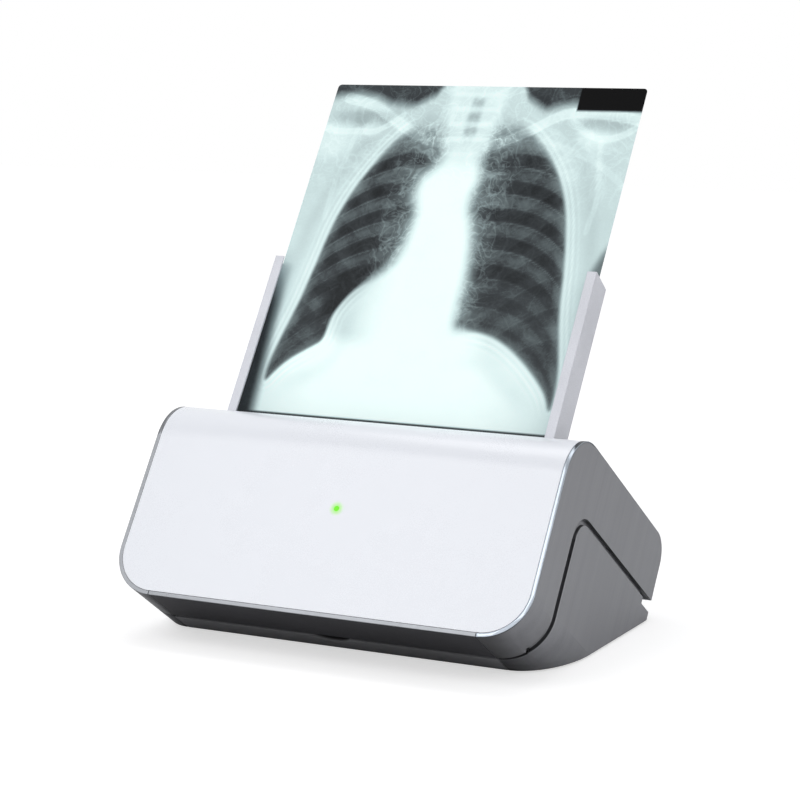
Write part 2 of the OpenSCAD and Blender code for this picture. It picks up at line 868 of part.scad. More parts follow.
// Stepper motor: two end bells, the laminated core between them and the pilot in the plate
module feed_motor() {
    x1 = -plate_x + seat + motor_l;
    x0 = -plate_x + seat;
    core = motor_w - 2 * core_in;
    color("dimgray") leaned() difference() {
        union() {
            block([x0, motor_y - motor_w / 2, motor_z - motor_w / 2],
                [x0 + bell_l, motor_y + motor_w / 2, motor_z + motor_w / 2]);
            block([x0 + over, motor_y - core / 2, motor_z - core / 2],
                [x1 - over, motor_y + core / 2, motor_z + core / 2]);
            block([x1 - bell_l, motor_y - motor_w / 2, motor_z - motor_w / 2],
                [x1, motor_y + motor_w / 2, motor_z + motor_w / 2]);
            rod(x0 - fold_t, x0 + over, motor_y, motor_z, motor_w / 4);
        }
        rod(x0 - fold_t - over, x0 + 2 * bell_l, motor_y, motor_z, motor_shaft_r + run_gap);
    }
}
module pulley_circles_2d(grow) {
    translate([-axis_n, upper_z]) circle(r = pulley_r + grow);
    translate([-axis_n, lower_z]) circle(r = pulley_r + grow);
    translate([motor_y, motor_z]) circle(r = motor_pulley_r + grow);
}
// Belt round the motor's pulley and the pulleys of both drive rollers
module drive_belt() {
    x = -pulley_x - pulley_w / 2;
    color("black") leaned() along_x(x - belt_w / 2, x + belt_w / 2) difference() {
        hull() pulley_circles_2d(seat / 2 + belt_t);
        hull() pulley_circles_2d(seat / 2);
    }
}
// Clear rod that brings the status lamp's light to the panel
module status_light() {
    color("limegreen") leaned() {
        stud(-panel_n, -panel_n + pipe_l - seat, 0, -panel_h / 2, pipe_r);
        stud(-panel_n + panel_t + seat, -panel_n + panel_t + seat + collar_t, 0, -panel_h / 2, collar_r);
    }
}
module status_board() {
    y = -panel_n + pipe_l;
    color("seagreen") leaned() block([-status_w / 2, y, -panel_h / 2 - status_h / 2],
        [status_w / 2, y + board_t, -panel_h / 2 + status_h / 2]);
}
// Frame of the power switch, snapped into the rear wall
module rocker_frame() {
    body_w2 = switch_w / 2 - switch_lip - seat;
    body_h2 = switch_h / 2 - switch_lip - seat;
    hole_w2 = rocker_w / 2 + rocker_gap;
    hole_h2 = body_h2 - switch_side;
    color("black") leaned() difference() {
        union() {
            block([switch_x - switch_w / 2, rear_n + seat, switch_z - switch_h / 2],
                [switch_x + switch_w / 2, rear_n + seat + switch_lip, switch_z + switch_h / 2]);
            block([switch_x - body_w2, rear_n - switch_d, switch_z - body_h2],
                [switch_x + body_w2, rear_n + over, switch_z + body_h2]);
        }
        block([switch_x - hole_w2, rear_n - switch_d + switch_back, switch_z - hole_h2],
            [switch_x + hole_w2, rear_n + switch_lip + over, switch_z + hole_h2]);
        translate([switch_x, rear_n - rocker_deep + switch_lip, switch_z - hole_h2 - rocker_pin_out])
            cylinder(h = 2 * hole_h2 + 2 * rocker_pin_out, r = rocker_pin_r + run_gap);
    }
}
// Rocker of the power switch, drawn level about its pivot and then tilted to rest
module rocker_button() {
    half = rocker_w / 2;
    body_h2 = switch_h / 2 - switch_lip - seat;
    high = body_h2 - switch_side - clear;
    color("black") leaned() translate([switch_x, rear_n - rocker_deep + switch_lip, switch_z])
        rotate([0, 0, rocker_tilt]) {
            along_z(-high, high) polygon([
                [-half, rocker_deep + rocker_rise], [0, rocker_deep], [half, rocker_deep + rocker_rise],
                [half, rocker_deep - rocker_side], [0, -rocker_deep / 2], [-half, rocker_deep - rocker_side]
            ]);
            along_z(-high - rocker_pin_out, high + rocker_pin_out) circle(r = rocker_pin_r);
        }
}
// Power jack: a socket with its centre pin
module dc_jack() {
    z = board_top + seat + jack_w / 2;
    y1 = rear_n - sheet_t - seat;
    color("black") leaned() {
        difference() {
            block([jack_x - jack_w / 2, y1 - jack_l, board_top + seat],
                [jack_x + jack_w / 2, y1, board_top + seat + jack_w]);
            stud(y1 - jack_l + fold_t, y1 + over, jack_x, z, jack_bore_r);
        }
        stud(y1 - jack_l + over, y1 - jack_pin_in, jack_x, z, jack_pin_r);
    }
}
// Data port: a metal shell with its tongue
module usb_port() {
    z = board_top + seat;
    y1 = rear_n - port_in;
    color("silver") leaned() {
        difference() {
            block([port_x - port_w / 2, y1 - port_l, z], [port_x + port_w / 2, y1, z + port_h]);
            block([port_x - port_w / 2 + port_wall, y1 - port_l + fold_t, z + port_wall],
                [port_x + port_w / 2 - port_wall, y1 + over, z + port_h - port_wall]);
        }
        block([port_x - tongue_w / 2, y1 - port_l + over, z + port_h / 2 - tongue_h / 2],
            [port_x + tongue_w / 2, y1 - fold_t, z + port_h / 2 + tongue_h / 2]);
    }
}
// Hinge leaf on the tray, with a knuckle on each side of the base's ear
module cover_hinge_leaves() {
    x0 = ear_w / 2 + clear;
    leaf_z = tray_z + seat;
    front = hinge_y - hinge_leaf_l;
    rear = rear_n - sheet_t - 2 * seat;
    color("lightslategray") leaned() both_sides() translate([hinge_x, 0, 0]) difference() {
        union() {
            block([-x0 - knuckle_w, front, leaf_z], [x0 + knuckle_w, rear, leaf_z + fold_t]);
            for (side = [0, 1]) {
                mirror([side, 0, 0]) {
                    rod(x0, x0 + knuckle_w, hinge_y, hinge_z, knuckle_r);
                    block([x0, hinge_y - knuckle_r, hinge_z],
                        [x0 + knuckle_w, hinge_y + knuckle_r, leaf_z + over]);
                }
            }
        }
        rod(-reach, reach, hinge_y, hinge_z, pin_r + run_gap);
    }
}
// X-ray film, standing in the entry with its lower edge just past the upper nip
module film() {
    r = film_corner_r;
    color("lightcyan") leaned() along_y(-film_t / 2, film_t / 2) {
        translate([-film_w / 2 + r, -film_in]) square([film_w - 2 * r, film_l]);
        translate([-film_w / 2, -film_in + r]) square([film_w, film_l - 2 * r]);
        for (x = [-film_w / 2 + r, film_w / 2 - r]) {
            for (z = [-film_in + r, film_top - r]) {
                translate([x, z]) circle(r = r);
            }
        }
    }
}
module drive_shaft(z) {
    rod(-pulley_x - pulley_w - end_gap, plate_end + shaft_out, -axis_n, z, shaft_r);
}
module idler_shaft(z) {
    rod(-plate_end - bush_out - end_gap, plate_end + bush_out + end_gap, axis_n, z, shaft_r);
}
module sleeve(y, z) {
    difference() {
        rod(-sleeve_half, sleeve_half, y, z, roller_r);
        rod(-sleeve_half - over, sleeve_half + over, y, z, shaft_r + run_gap / 2);
    }
}
// A belt pulley along x with a rim at each end
module pulley(y, z, r, bore) {
    x0 = -pulley_x - pulley_w;
    difference() {
        union() {
            rod(x0, x0 + pulley_w, y, z, r);
            for (x = [x0, x0 + pulley_w - pulley_rim]) {
                rod(x, x + pulley_rim, y, z, r + belt_t);
            }
        }
        rod(x0 - over, x0 + pulley_w + over, y, z, bore + run_gap / 2);
    }
}
module upper_drive_shaft() {
    color("silver") leaned() drive_shaft(upper_z);
}
module upper_drive_sleeve() {
    color("dimgray") leaned() sleeve(-axis_n, upper_z);
}
module upper_drive_pulley() {
    color("whitesmoke") leaned() pulley(-axis_n, upper_z, pulley_r, shaft_r);
}
module lower_drive_shaft() {
    color("silver") leaned() drive_shaft(lower_z);
}
module lower_drive_sleeve() {
    color("dimgray") leaned() sleeve(-axis_n, lower_z);
}
module lower_drive_pulley() {
    color("whitesmoke") leaned() pulley(-axis_n, lower_z, pulley_r, shaft_r);
}
module upper_idler_shaft() {
    color("silver") leaned() idler_shaft(upper_z);
}
module upper_idler_sleeve() {
    color("dimgray") leaned() sleeve(axis_n, upper_z);
}
module lower_idler_shaft() {
    color("silver") leaned() idler_shaft(lower_z);
}
module lower_idler_sleeve() {
    color("dimgray") leaned() sleeve(axis_n, lower_z);
}
// Motor shaft with its pulley, in one piece
module motor_pulley() {
    x0 = -pulley_x - pulley_w;
    color("whitesmoke") leaned() {
        rod(x0, x0 + pulley_w, motor_y, motor_z, motor_pulley_r);
        for (x = [x0, x0 + pulley_w - pulley_rim]) {
            rod(x, x + pulley_rim, motor_y, motor_z, motor_pulley_r + belt_t);
        }
        rod(x0 - end_gap, -plate_x + bell_l, motor_y, motor_z, motor_shaft_r);
    }
}

// Cheek of the base, with the inner lip that closes the seam from inside
module base_cheek_shape() {
    near = wall + clear;
    lip_x = half_w - lip_side;
    intersection() {
        above(base_z);
        union() {
            intersection() {
                along_y(-reach, reach) front_ring_2d(0, wall);
                union() {
                    along_x(cheek_x + seat, lip_x) intersection() {
                        base_2d();
                        translate([exit_rear_n, -reach]) square([reach, 2 * reach]);
                    }
                    along_x(lip_x, half_w + over) base_2d();
                }
            }
            intersection() {
                along_y(-reach, reach) front_ring_2d(wall / 2, near + lip_t);
                along_x(lip_x, half_w + over) base_2d();
            }
            intersection() {
                along_y(-reach, reach) front_ring_2d(near, near + lip_t);
                along_x(lip_x, half_w + over) difference() {
                    intersection() {
                        side_2d(lip_in);
                        seam_2d(base_seam_n + lip_reach, deck_z + lip_reach, base_seam_r + lip_reach);
                    }
                    translate([shelf_y, shelf_z]) square([reach, reach]);
                }
            }
        }
    }
}
module base_right_cheek() {
    color("darkgray") leaned() base_cheek_shape();
}
module base_left_cheek() {
    color("darkgray") leaned() mirror([1, 0, 0]) base_cheek_shape();
}
// Dark front strip of the base with the finger notch
module base_front_strip() {
    side = notch_w / 2 + notch_wall;
    color("dimgray") leaned() intersection() {
        above(base_z);
        difference() {
            union() {
                block([-cheek_x + seat, exit_rear_n, -panel_h], [cheek_x - seat, reach, -panel_h + wall]);
                block([-side, exit_rear_n, -panel_h], [side, exit_rear_n + notch_d + notch_wall,
                    -panel_h + notch_h + notch_wall]);
            }
            intersection() {
                translate([0, notch_y, -panel_h - over]) cylinder(h = notch_h + over, r = notch_r);
                block([-side, 0, -panel_h - over], [side, notch_d + notch_wall, -panel_h + notch_h]);
            }
        }
    }
}
// Front view of the space inside the base's cheeks and lips
module inner_2d() {
    lip_x = half_w - lip_side - seat;
    front_2d(wall + clear + lip_t + seat);
    intersection() {
        front_2d(wall + seat);
        translate([-lip_x, -reach]) square([2 * lip_x, 2 * reach]);
    }
}
// Folded deck: the guide behind the film, the top of the base, its shelf and its rear
module base_deck() {
    window_x = plate_end + bush_out + end_gap;
    window_h = roller_r + window_gap;
    notch_side = notch_w / 2 + notch_wall + clear;
    color("gray") leaned() difference() {
        intersection() {
            above(inner_z);
            along_x(-half_w, half_w) difference() {
                base_2d(deck_in);
                base_2d(deck_in + fold_t);
                translate([-reach, -panel_h - reach + wall + seat]) square([2 * reach, reach]);
            }
            along_y(-reach, reach) inner_2d();
        }
        block([-window_x, -over, lower_z - window_h], [window_x, panel_n, lower_z + window_h]);
        block([-notch_side, -over, -panel_h], [notch_side, panel_n, -panel_h + notch_h + notch_wall + clear]);
    }
}
module base_places(x, front, back) {
    for (side = [-1, 1]) {
        for (y = [desk_front_y + front, desk_rear_y - back]) {
            translate([side * x, y, 0]) children();
        }
    }
}
// Steel bottom plate, level with the desk, with holes for its screws
module bottom_plate() {
    color("slategray") difference() {
        intersection() {
            leaned() along_y(-reach, reach) inner_2d();
            leaned() along_x(-half_w, half_w) side_2d(deck_in);
            translate([-reach, -reach, base_z]) cube([2 * reach, 2 * reach, bottom_t]);
        }
        base_places(screw_x, screw_in, screw_in) translate([0, 0, base_z - over]) {
            cylinder(h = bottom_t + 2 * over, r = screw_r + seat);
            cylinder(h = screw_head_h + over + 2 * seat, r = screw_head_r + seat);
        }
    }
}
module base_screws() {
    color("silver") base_places(screw_x, screw_in, screw_in) translate([0, 0, base_z + seat]) {
        cylinder(h = screw_l, r = screw_r);
        cylinder(h = screw_head_h, r = screw_head_r);
    }
}
module rubber_feet() {
    color("black") base_places(half_w - foot_side, foot_front, foot_back)
        cylinder(h = foot_h - seat, r = foot_r);
}
// Side plates of the base: they carry the lower idler and are screwed to the bottom plate
module base_side_plates() {
    color("slategray") leaned() both_sides() {
        intersection() {
            above(inner_z);
            along_x(plate_x, plate_end) difference() {
                base_2d(deck_in + fold_t + seat);
                translate([-reach, plate_low - reach]) square([2 * reach, reach]);
                bush_hole_2d(axis_n, lower_z);
            }
        }
        difference() {
            intersection() {
                above(inner_z);
                unleaned() translate([screw_x - foot_flange / 2, desk_front_y + 2 * screw_head_r, 0])
                    cube([plate_x - screw_x + foot_flange / 2 + over, desk_l - 4 * screw_head_r,
                        inner_z + plate_t]);
                along_x(0, half_w) base_2d(deck_in + fold_t + seat);
            }
            unleaned() base_places(screw_x, screw_in, screw_in) cylinder(h = reach, r = screw_r + seat);
        }
        rod(plate_end - over, plate_end + bush_out,
            axis_n + bush_r + clear + leaf_t + seat + leaf_post_r, lower_z - leaf_down, leaf_post_r);
    }
}
module base_bearings() {
    color("goldenrod") leaned() both_sides()
        bush(plate_x - bush_in, plate_end + bush_out, axis_n, lower_z);
}
module lower_idler_springs() {
    color("lightsteelblue") leaned() both_sides() leaf_shape(lower_z);
}
// Ears of the hinge, each with its foot on the base's shelf
module base_hinge_ears() {
    foot_z = shelf_z - deck_in + seat;
    color("lightslategray") leaned() both_sides() translate([hinge_x, 0, 0]) difference() {
        union() {
            rod(-ear_w / 2, ear_w / 2, hinge_y, hinge_z, knuckle_r);
            block([-ear_w / 2, hinge_y - knuckle_r, foot_z], [ear_w / 2, hinge_y + knuckle_r, hinge_z]);
            block([-ear_foot_w / 2, shelf_y, foot_z], [ear_foot_w / 2, rear_n - sheet_t, foot_z + fold_t]);
        }
        rod(-reach, reach, hinge_y, hinge_z, pin_r + run_gap);
    }
}
module hinge_pins() {
    half = ear_w / 2 + clear + knuckle_w;
    color("silver") leaned() both_sides() rod(hinge_x - half, hinge_x + half, hinge_y, hinge_z, pin_r);
}
module catch_magnets() {
    y = path_n + fold_t + seat;
    color("silver") leaned() both_sides() stud(y, y + magnet_l, magnet_x, -panel_h + magnet_up, magnet_r);
}

front_panel();
left_cheek();
right_cheek();
left_trim();
right_trim();
bottom_trim();
lower_strip();
rear_cover();
entry_bezel();
left_film_guide();
right_film_guide();
front_guide_plate();
cover_tray();
left_side_plate();
right_side_plate();
cross_rails();
cover_bearings();
upper_idler_springs();
light_diffuser();
led_strip();
light_heat_sink();
optical_duct();
camera_housing();
camera_lens();
main_board();
board_parts();
feed_motor();
drive_belt();
status_light();
status_board();
rocker_frame();
dc_jack();
usb_port();
cover_hinge_leaves();
film();
upper_drive_shaft();
upper_drive_sleeve();
upper_drive_pulley();
lower_drive_shaft();
lower_drive_sleeve();
lower_drive_pulley();
upper_idler_shaft();
upper_idler_sleeve();
lower_idler_shaft();
lower_idler_sleeve();
motor_pulley();
rocker_button();
base_left_cheek();
base_right_cheek();
base_front_strip();
base_deck();
bottom_plate();
base_side_plates();
base_bearings();
lower_idler_springs();
base_hinge_ears();
hinge_pins();
catch_magnets();
rubber_feet();
base_screws();
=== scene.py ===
import math

import bmesh
import bpy
import numpy as np
from mathutils import Matrix, Vector


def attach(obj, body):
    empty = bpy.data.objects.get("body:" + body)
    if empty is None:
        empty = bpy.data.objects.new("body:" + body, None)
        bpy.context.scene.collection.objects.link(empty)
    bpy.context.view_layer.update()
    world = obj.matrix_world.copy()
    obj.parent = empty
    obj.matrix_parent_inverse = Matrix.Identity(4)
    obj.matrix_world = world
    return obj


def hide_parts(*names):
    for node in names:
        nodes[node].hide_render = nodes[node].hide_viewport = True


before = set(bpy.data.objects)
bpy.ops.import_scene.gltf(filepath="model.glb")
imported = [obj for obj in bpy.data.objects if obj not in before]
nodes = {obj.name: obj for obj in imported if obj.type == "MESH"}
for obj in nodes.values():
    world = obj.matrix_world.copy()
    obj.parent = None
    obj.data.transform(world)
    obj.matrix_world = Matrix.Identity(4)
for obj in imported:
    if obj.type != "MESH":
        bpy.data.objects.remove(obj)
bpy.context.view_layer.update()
print("frame loaded,", len(nodes), "nodes")

# The body's own frame: x to the right, y back from the film, z up along it
body = {"lean": 34.2, "filmY": -0.027354, "filmZ": 0.197014}
lean = math.radians(body["lean"])
bodyFrame = Matrix.Translation((0, body["filmY"], body["filmZ"])) @ Matrix.Rotation(-lean, 4, "X")
alongFilm = (lean, 0, 0)  # a Mapping turned by this reads along the body's own axes
filmAxis = (0, math.sin(lean), math.cos(lean))


def fromScreen(red, green, blue):  # a colour as a screen shows it, as the shader wants it
    def line(v):
        v = v / 255
        return v / 12.92 if v <= 0.04045 else ((v + 0.055) / 1.055) ** 2.4
    return (line(red), line(green), line(blue), 1)


# Shader nodes by their values: a socket is linked, anything else is set


def feed(tree, value, socket):
    if isinstance(value, bpy.types.NodeSocket):
        tree.links.new(value, socket)
    else:
        socket.default_value = value


def mathNode(tree, kind, *values):
    node = tree.nodes.new("ShaderNodeMath")
    node.operation = kind
    for value, socket in zip(values, node.inputs):
        feed(tree, value, socket)
    return node.outputs["Value"]


def vectorNode(tree, kind, *values):
    node = tree.nodes.new("ShaderNodeVectorMath")
    node.operation = kind
    for value, socket in zip(values, node.inputs):
        feed(tree, value, socket)
    return node.outputs["Vector" if kind == "MULTIPLY" else "Value"]


def rangeNode(tree, value, start, end, low, high, kind="LINEAR"):  # start to end becomes low to high
    node = tree.nodes.new("ShaderNodeMapRange")
    node.interpolation_type = kind
    settings = {"Value": value, "From Min": start, "From Max": end, "To Min": low, "To Max": high}
    for label, given in settings.items():
        feed(tree, given, node.inputs[label])
    return node.outputs["Result"]


def mixNode(tree, factor, first, second, kind="MIX"):
    node = tree.nodes.new("ShaderNodeMix")
    node.data_type = "RGBA"
    node.blend_type = kind
    for label, given in (("Factor", factor), ("A", first), ("B", second)):
        feed(tree, given, node.inputs[label])
    return node.outputs["Result"]


def noiseNode(tree, vector, scale, detail, rough=0.5, bend=0.0):
    node = tree.nodes.new("ShaderNodeTexNoise")
    settings = {"Vector": vector, "Scale": scale, "Detail": detail, "Roughness": rough, "Distortion": bend}
    for label, given in settings.items():
        feed(tree, given, node.inputs[label])
    return node.outputs["Fac"]


def mixTones(tree, first, second, share):  # the share of the first, the rest of the second
    return mathNode(tree, "MULTIPLY_ADD", first, share, mathNode(tree, "MULTIPLY", second, 1 - share))


# Shared effects
brushing = {"hair": (1500, 1500, 12), "band": (60, 60, 1.5), "hairShare": 0.55}
handling = {"lineScale": 60, "lineBend": 1.5, "smearShare": 0.7}
grain = {"toothShare": 0.4}
vesselNet = {"nets": ((1.0, 0.10), (2.3, 0.07)), "bend": 1.4, "width": 0.06, "between": -0.02}


def newGroup(name, numbers, results=("Height", "Tone")):  # a Vector and the numbers in, the results out
    group = bpy.data.node_groups.new(name, "ShaderNodeTree")
    group.interface.new_socket("Vector", in_out="INPUT", socket_type="NodeSocketVector")
    for label, value in numbers.items():
        socket = group.interface.new_socket(label, in_out="INPUT", socket_type="NodeSocketFloat")
        socket.default_value = value
    for label in results:
        group.interface.new_socket(label, in_out="OUTPUT", socket_type="NodeSocketFloat")
    return group, group.nodes.new("NodeGroupInput").outputs, group.nodes.new("NodeGroupOutput").inputs


def makeGrain():  # the fine tooth of paint, moulded plastic and rubber
    group, given, out = newGroup("fineGrain", {"Size": 900.0, "Clouds": 9.0})
    tooth = noiseNode(group, given["Vector"], given["Size"], detail=2, rough=0.6)
    cloud = noiseNode(group, given["Vector"], given["Clouds"], detail=3)
    feed(group, tooth, out["Height"])
    feed(group, mixTones(group, tooth, cloud, grain["toothShare"]), out["Tone"])
    return group


def makeBrushing():  # long streaks along the film's axis
    group, given, out = newGroup("brushing", {"Fine": 1.0})
    fine, broad = (vectorNode(group, "MULTIPLY", given["Vector"], brushing[key]) for key in ("hair", "band"))
    hair = noiseNode(group, fine, given["Fine"], detail=3, rough=0.7)
    streak = noiseNode(group, broad, given["Fine"], detail=2)
    feed(group, hair, out["Height"])
    feed(group, mixTones(group, hair, streak, brushing["hairShare"]), out["Tone"])
    return group


def makeHandling():  # faint smears and hairlines of use on smooth faces
    group, given, out = newGroup("handling", {"Spread": 7.0})
    smear = noiseNode(group, given["Vector"], given["Spread"], detail=4, rough=0.6)
    lines = noiseNode(group, given["Vector"], handling["lineScale"], detail=2, bend=handling["lineBend"])
    feed(group, lines, out["Height"])
    feed(group, mixTones(group, smear, lines, handling["smearShare"]), out["Tone"])
    return group


def makeVessels():  # a net of fine bright branches in the film's picture
    group, given, out = newGroup("fineVessels", {"Size": 30.0}, ["Tone"])
    total = 0.0
    for factor, share in vesselNet["nets"]:
        scale = mathNode(group, "MULTIPLY", given["Size"], factor)
        net = noiseNode(group, given["Vector"], scale, detail=2, bend=vesselNet["bend"])
        away = mathNode(group, "ABSOLUTE", mathNode(group, "SUBTRACT", net, 0.5))
        ridge = rangeNode(group, away, 0, vesselNet["width"], share, vesselNet["between"], "SMOOTHSTEP")
        total = mathNode(group, "ADD", ridge, total)
    feed(group, total, out["Tone"])
    return group


effects = {"grain": makeGrain(), "brushing": makeBrushing(), "handling": makeHandling(), "vessels": makeVessels()}
print("shared effects built")

# Finishes: screen colours at the two ends of the effect's tone, roughness from and to, the effect and its size,
# how strong its bump is, and for some metal, coat, shine and painted light and shade that follow the turn, the depth
# or the lamp
# painted shade: the cheeks darker where a face turns away from the side, round the lower corners
cornerPaintedShade = dict(axis=(1, 0, 0), start=0.05, end=0.85, low=0.30, high=1.0)
# painted reflection: the polished rim darker where it turns up over the ridge, as a dark reflection
ridgePaintedReflection = dict(axis=filmAxis, start=0.50, end=0.62, low=1.0, high=0.12)
notchShade = dict(axis=filmAxis, start=0.0660, end=0.0690, low=0.06, high=1.0)
# painted light: the lamp's green glow painted into the panel's colour round the lamp
lampPaintedGlow = dict(centre=(0, -0.059, -0.1085), near=0.0025, far=0.009, strength=0.85, paintedGlowColour=(176, 248, 126))
surface = {"toneFrom": 0.34, "toneTo": 0.66, "coatRough": 0.12, "bumpDistance": 0.0004}
finishes = {
    "panelLacquer": dict(low=(236, 239, 246), high=(237, 240, 247), rough=(0.27, 0.28),
                         effect="grain", size=900.0, bump=0.002, coat=0.1, halo=lampPaintedGlow),
    # The rim in two copies of one finish: the lighter one on the right trim, and a darker copy with painted shade on
    # the left and bottom trims
    "polishedRim": dict(low=(144, 151, 159), high=(164, 171, 180), rough=(0.27, 0.36), metal=1.0,
                        effect="handling", size=14.0, bump=0.01, turn=ridgePaintedReflection),
    "shadedRimCopy": dict(low=(103, 105, 108), high=(123, 125, 129), rough=(0.26, 0.34), metal=1.0,
                     effect="handling", size=14.0, bump=0.01),
    "brushedCheek": dict(low=(133, 134, 138), high=(149, 150, 154), rough=(0.38, 0.48), metal=0.85,
                         effect="brushing", size=1.0, bump=0.03, turn=cornerPaintedShade),
    "darkUnderside": dict(low=(46, 46, 49), high=(60, 60, 64), rough=(0.46, 0.60),
                          effect="grain", size=1100.0, bump=0.05, shine=0.15),
    "baseStrip": dict(low=(110, 110, 113), high=(124, 124, 127), rough=(0.44, 0.58),
                      effect="grain", size=1100.0, bump=0.05, shine=0.12, depth=notchShade),
    "rearPaint": dict(low=(186, 188, 193), high=(204, 206, 211), rough=(0.36, 0.48),
                      effect="grain", size=900.0, bump=0.08),
    "slotPlastic": dict(low=(34, 34, 36), high=(50, 50, 53), rough=(0.45, 0.62),
                        effect="grain", size=1300.0, bump=0.10),
    "guidePaint": dict(low=(206, 208, 216), high=(228, 230, 238), rough=(0.34, 0.46),
                       effect="grain", size=900.0, bump=0.08),
    "innerSheet": dict(low=(150, 152, 155), high=(178, 180, 183), rough=(0.30, 0.46), metal=0.9,
                       effect="brushing", size=0.6, bump=0.04),
    "innerPaint": dict(low=(70, 72, 75), high=(92, 94, 98), rough=(0.42, 0.56),
                       effect="grain", size=1000.0, bump=0.08),
    "bushBronze": dict(low=(176, 132, 70), high=(206, 164, 98), rough=(0.26, 0.40), metal=1.0,
                       effect="handling", size=60.0, bump=0.02),
    "springSteel": dict(low=(146, 148, 154), high=(182, 184, 190), rough=(0.22, 0.36), metal=1.0,
                        effect="brushing", size=1.5, bump=0.03),
    "milkyWindow": dict(low=(226, 229, 230), high=(244, 246, 247), rough=(0.35, 0.50),
                        effect="grain", size=700.0, bump=0.02),
    "boardGreen": dict(low=(20, 74, 46), high=(34, 104, 66), rough=(0.28, 0.44),
                       effect="handling", size=70.0, bump=0.03),
    "blackMetal": dict(low=(22, 22, 23), high=(38, 38, 40), rough=(0.48, 0.64),
                       effect="grain", size=1200.0, bump=0.10),
    "chipBlack": dict(low=(24, 24, 26), high=(42, 42, 45), rough=(0.40, 0.56),
                      effect="grain", size=1600.0, bump=0.06),
    "beltRubber": dict(low=(20, 20, 20), high=(34, 34, 34), rough=(0.62, 0.80),
                       effect="grain", size=1500.0, bump=0.12),
    "portSteel": dict(low=(160, 161, 164), high=(196, 197, 200), rough=(0.24, 0.36), metal=1.0,
                      effect="brushing", size=2.0, bump=0.02),
    "shaftSteel": dict(low=(170, 171, 174), high=(206, 207, 210), rough=(0.16, 0.28), metal=1.0,
                       effect="handling", size=90.0, bump=0.01),
    "rollerRubber": dict(low=(54, 54, 56), high=(74, 74, 77), rough=(0.66, 0.82),
                         effect="grain", size=1400.0, bump=0.12),
    "pulleyAlloy": dict(low=(176, 177, 180), high=(208, 209, 212), rough=(0.24, 0.36), metal=1.0,
                        effect="handling", size=80.0, bump=0.02),
    "rockerPlastic": dict(low=(22, 22, 23), high=(36, 36, 38), rough=(0.26, 0.38),
                          effect="handling", size=50.0, bump=0.01),
    "magnetPlating": dict(low=(196, 197, 200), high=(222, 223, 226), rough=(0.12, 0.24), metal=1.0,
                          effect="handling", size=70.0, bump=0.01),
    "footRubber": dict(low=(22, 22, 22), high=(36, 36, 36), rough=(0.66, 0.84),
                       effect="grain", size=1400.0, bump=0.12),
    "screwSteel": dict(low=(60, 60, 63), high=(86, 86, 90), rough=(0.28, 0.42), metal=0.9,
                       effect="handling", size=90.0, bump=0.02),
    "markPrint": dict(low=(214, 214, 214), high=(232, 232, 232), rough=(0.45, 0.55),
                      effect="grain", size=1600.0, bump=0.02),
}


def newMaterial(name, values):
    material = bpy.data.materials.new(name)
    material.use_nodes = True
    tree = material.node_tree
    shader = tree.nodes["Principled BSDF"]
    for label, value in values.items():
        shader.inputs[label].default_value = value
    return material, tree, shader.inputs


def useEffect(tree, name, vector, *numbers):  # the numbers follow the Vector among the group's inputs
    effect = tree.nodes.new("ShaderNodeGroup")
    effect.node_tree = effects[name]
    for value, socket in zip((vector, *numbers), effect.inputs):
        feed(tree, value, socket)
    return effect.outputs


def paintDarkAlong(tree, vector, colour, axis, start, end, low, high):  # painted shade and painted dark reflection, by a face's turn or a place's depth
    reach = mathNode(tree, "ABSOLUTE", vectorNode(tree, "DOT_PRODUCT", vector, axis))
    return mixNode(tree, 1, colour, rangeNode(tree, reach, start, end, low, high, "SMOOTHSTEP"), "MULTIPLY")


def paintGlowByPlace(tree, where, colour, centre, near, far, strength, paintedGlowColour):  # painted light: the lamp's glow painted into the lacquer's colour round the lamp
    away = vectorNode(tree, "DISTANCE", where, bodyFrame @ Vector(centre))
    return mixNode(tree, rangeNode(tree, away, near, far, strength, 0, "SMOOTHERSTEP"), colour, fromScreen(*paintedGlowColour))


def makeFinish(name, spec):
    material, tree, shader = newMaterial(name, {
        "Metallic": spec.get("metal", 0.0), "Specular IOR Level": spec.get("shine", 0.5),
        "Coat Weight": spec.get("coat", 0.0), "Coat Roughness": surface["coatRough"]})
    place = tree.nodes.new("ShaderNodeTexCoord").outputs
    turned = tree.nodes.new("ShaderNodeMapping")
    turned.inputs["Rotation"].default_value = alongFilm
    feed(tree, place["Object"], turned.inputs["Vector"])
    effect = useEffect(tree, spec["effect"], turned.outputs["Vector"], spec["size"])
    toneEnds = surface["toneFrom"], surface["toneTo"]
    share = rangeNode(tree, effect["Tone"], *toneEnds, 0, 1)
    shown = mixNode(tree, share, fromScreen(*spec["low"]), fromScreen(*spec["high"]))
    # painted shade and painted dark reflection that follow the face's turn, and painted shade that follows the
    # place's depth
    if "turn" in spec:
        shown = paintDarkAlong(tree, place["Normal"], shown, **spec["turn"])
    if "depth" in spec:
        shown = paintDarkAlong(tree, place["Object"], shown, **spec["depth"])
    # painted light: the lamp's glow painted round the lamp
    if "halo" in spec:
        shown = paintGlowByPlace(tree, place["Object"], shown, **spec["halo"])
    feed(tree, shown, shader["Base Color"])
    feed(tree, rangeNode(tree, effect["Tone"], *toneEnds, *spec["rough"]), shader["Roughness"])
    bump = tree.nodes.new("ShaderNodeBump")
    bump.inputs["Strength"].default_value = spec["bump"]
    bump.inputs["Distance"].default_value = surface["bumpDistance"]
    feed(tree, effect["Height"], bump.inputs["Height"])
    feed(tree, bump.outputs["Normal"], shader["Normal"])
    return material


looks = {name: makeFinish(name, spec) for name, spec in finishes.items()}

# The status lamp glows on its own
lamp = {"body": (44, 130, 12), "glowFrom": (112, 226, 40), "glowTo": (136, 240, 62), "glow": 0.85,
        "rough": 0.45, "shine": 0.2, "spread": 300}


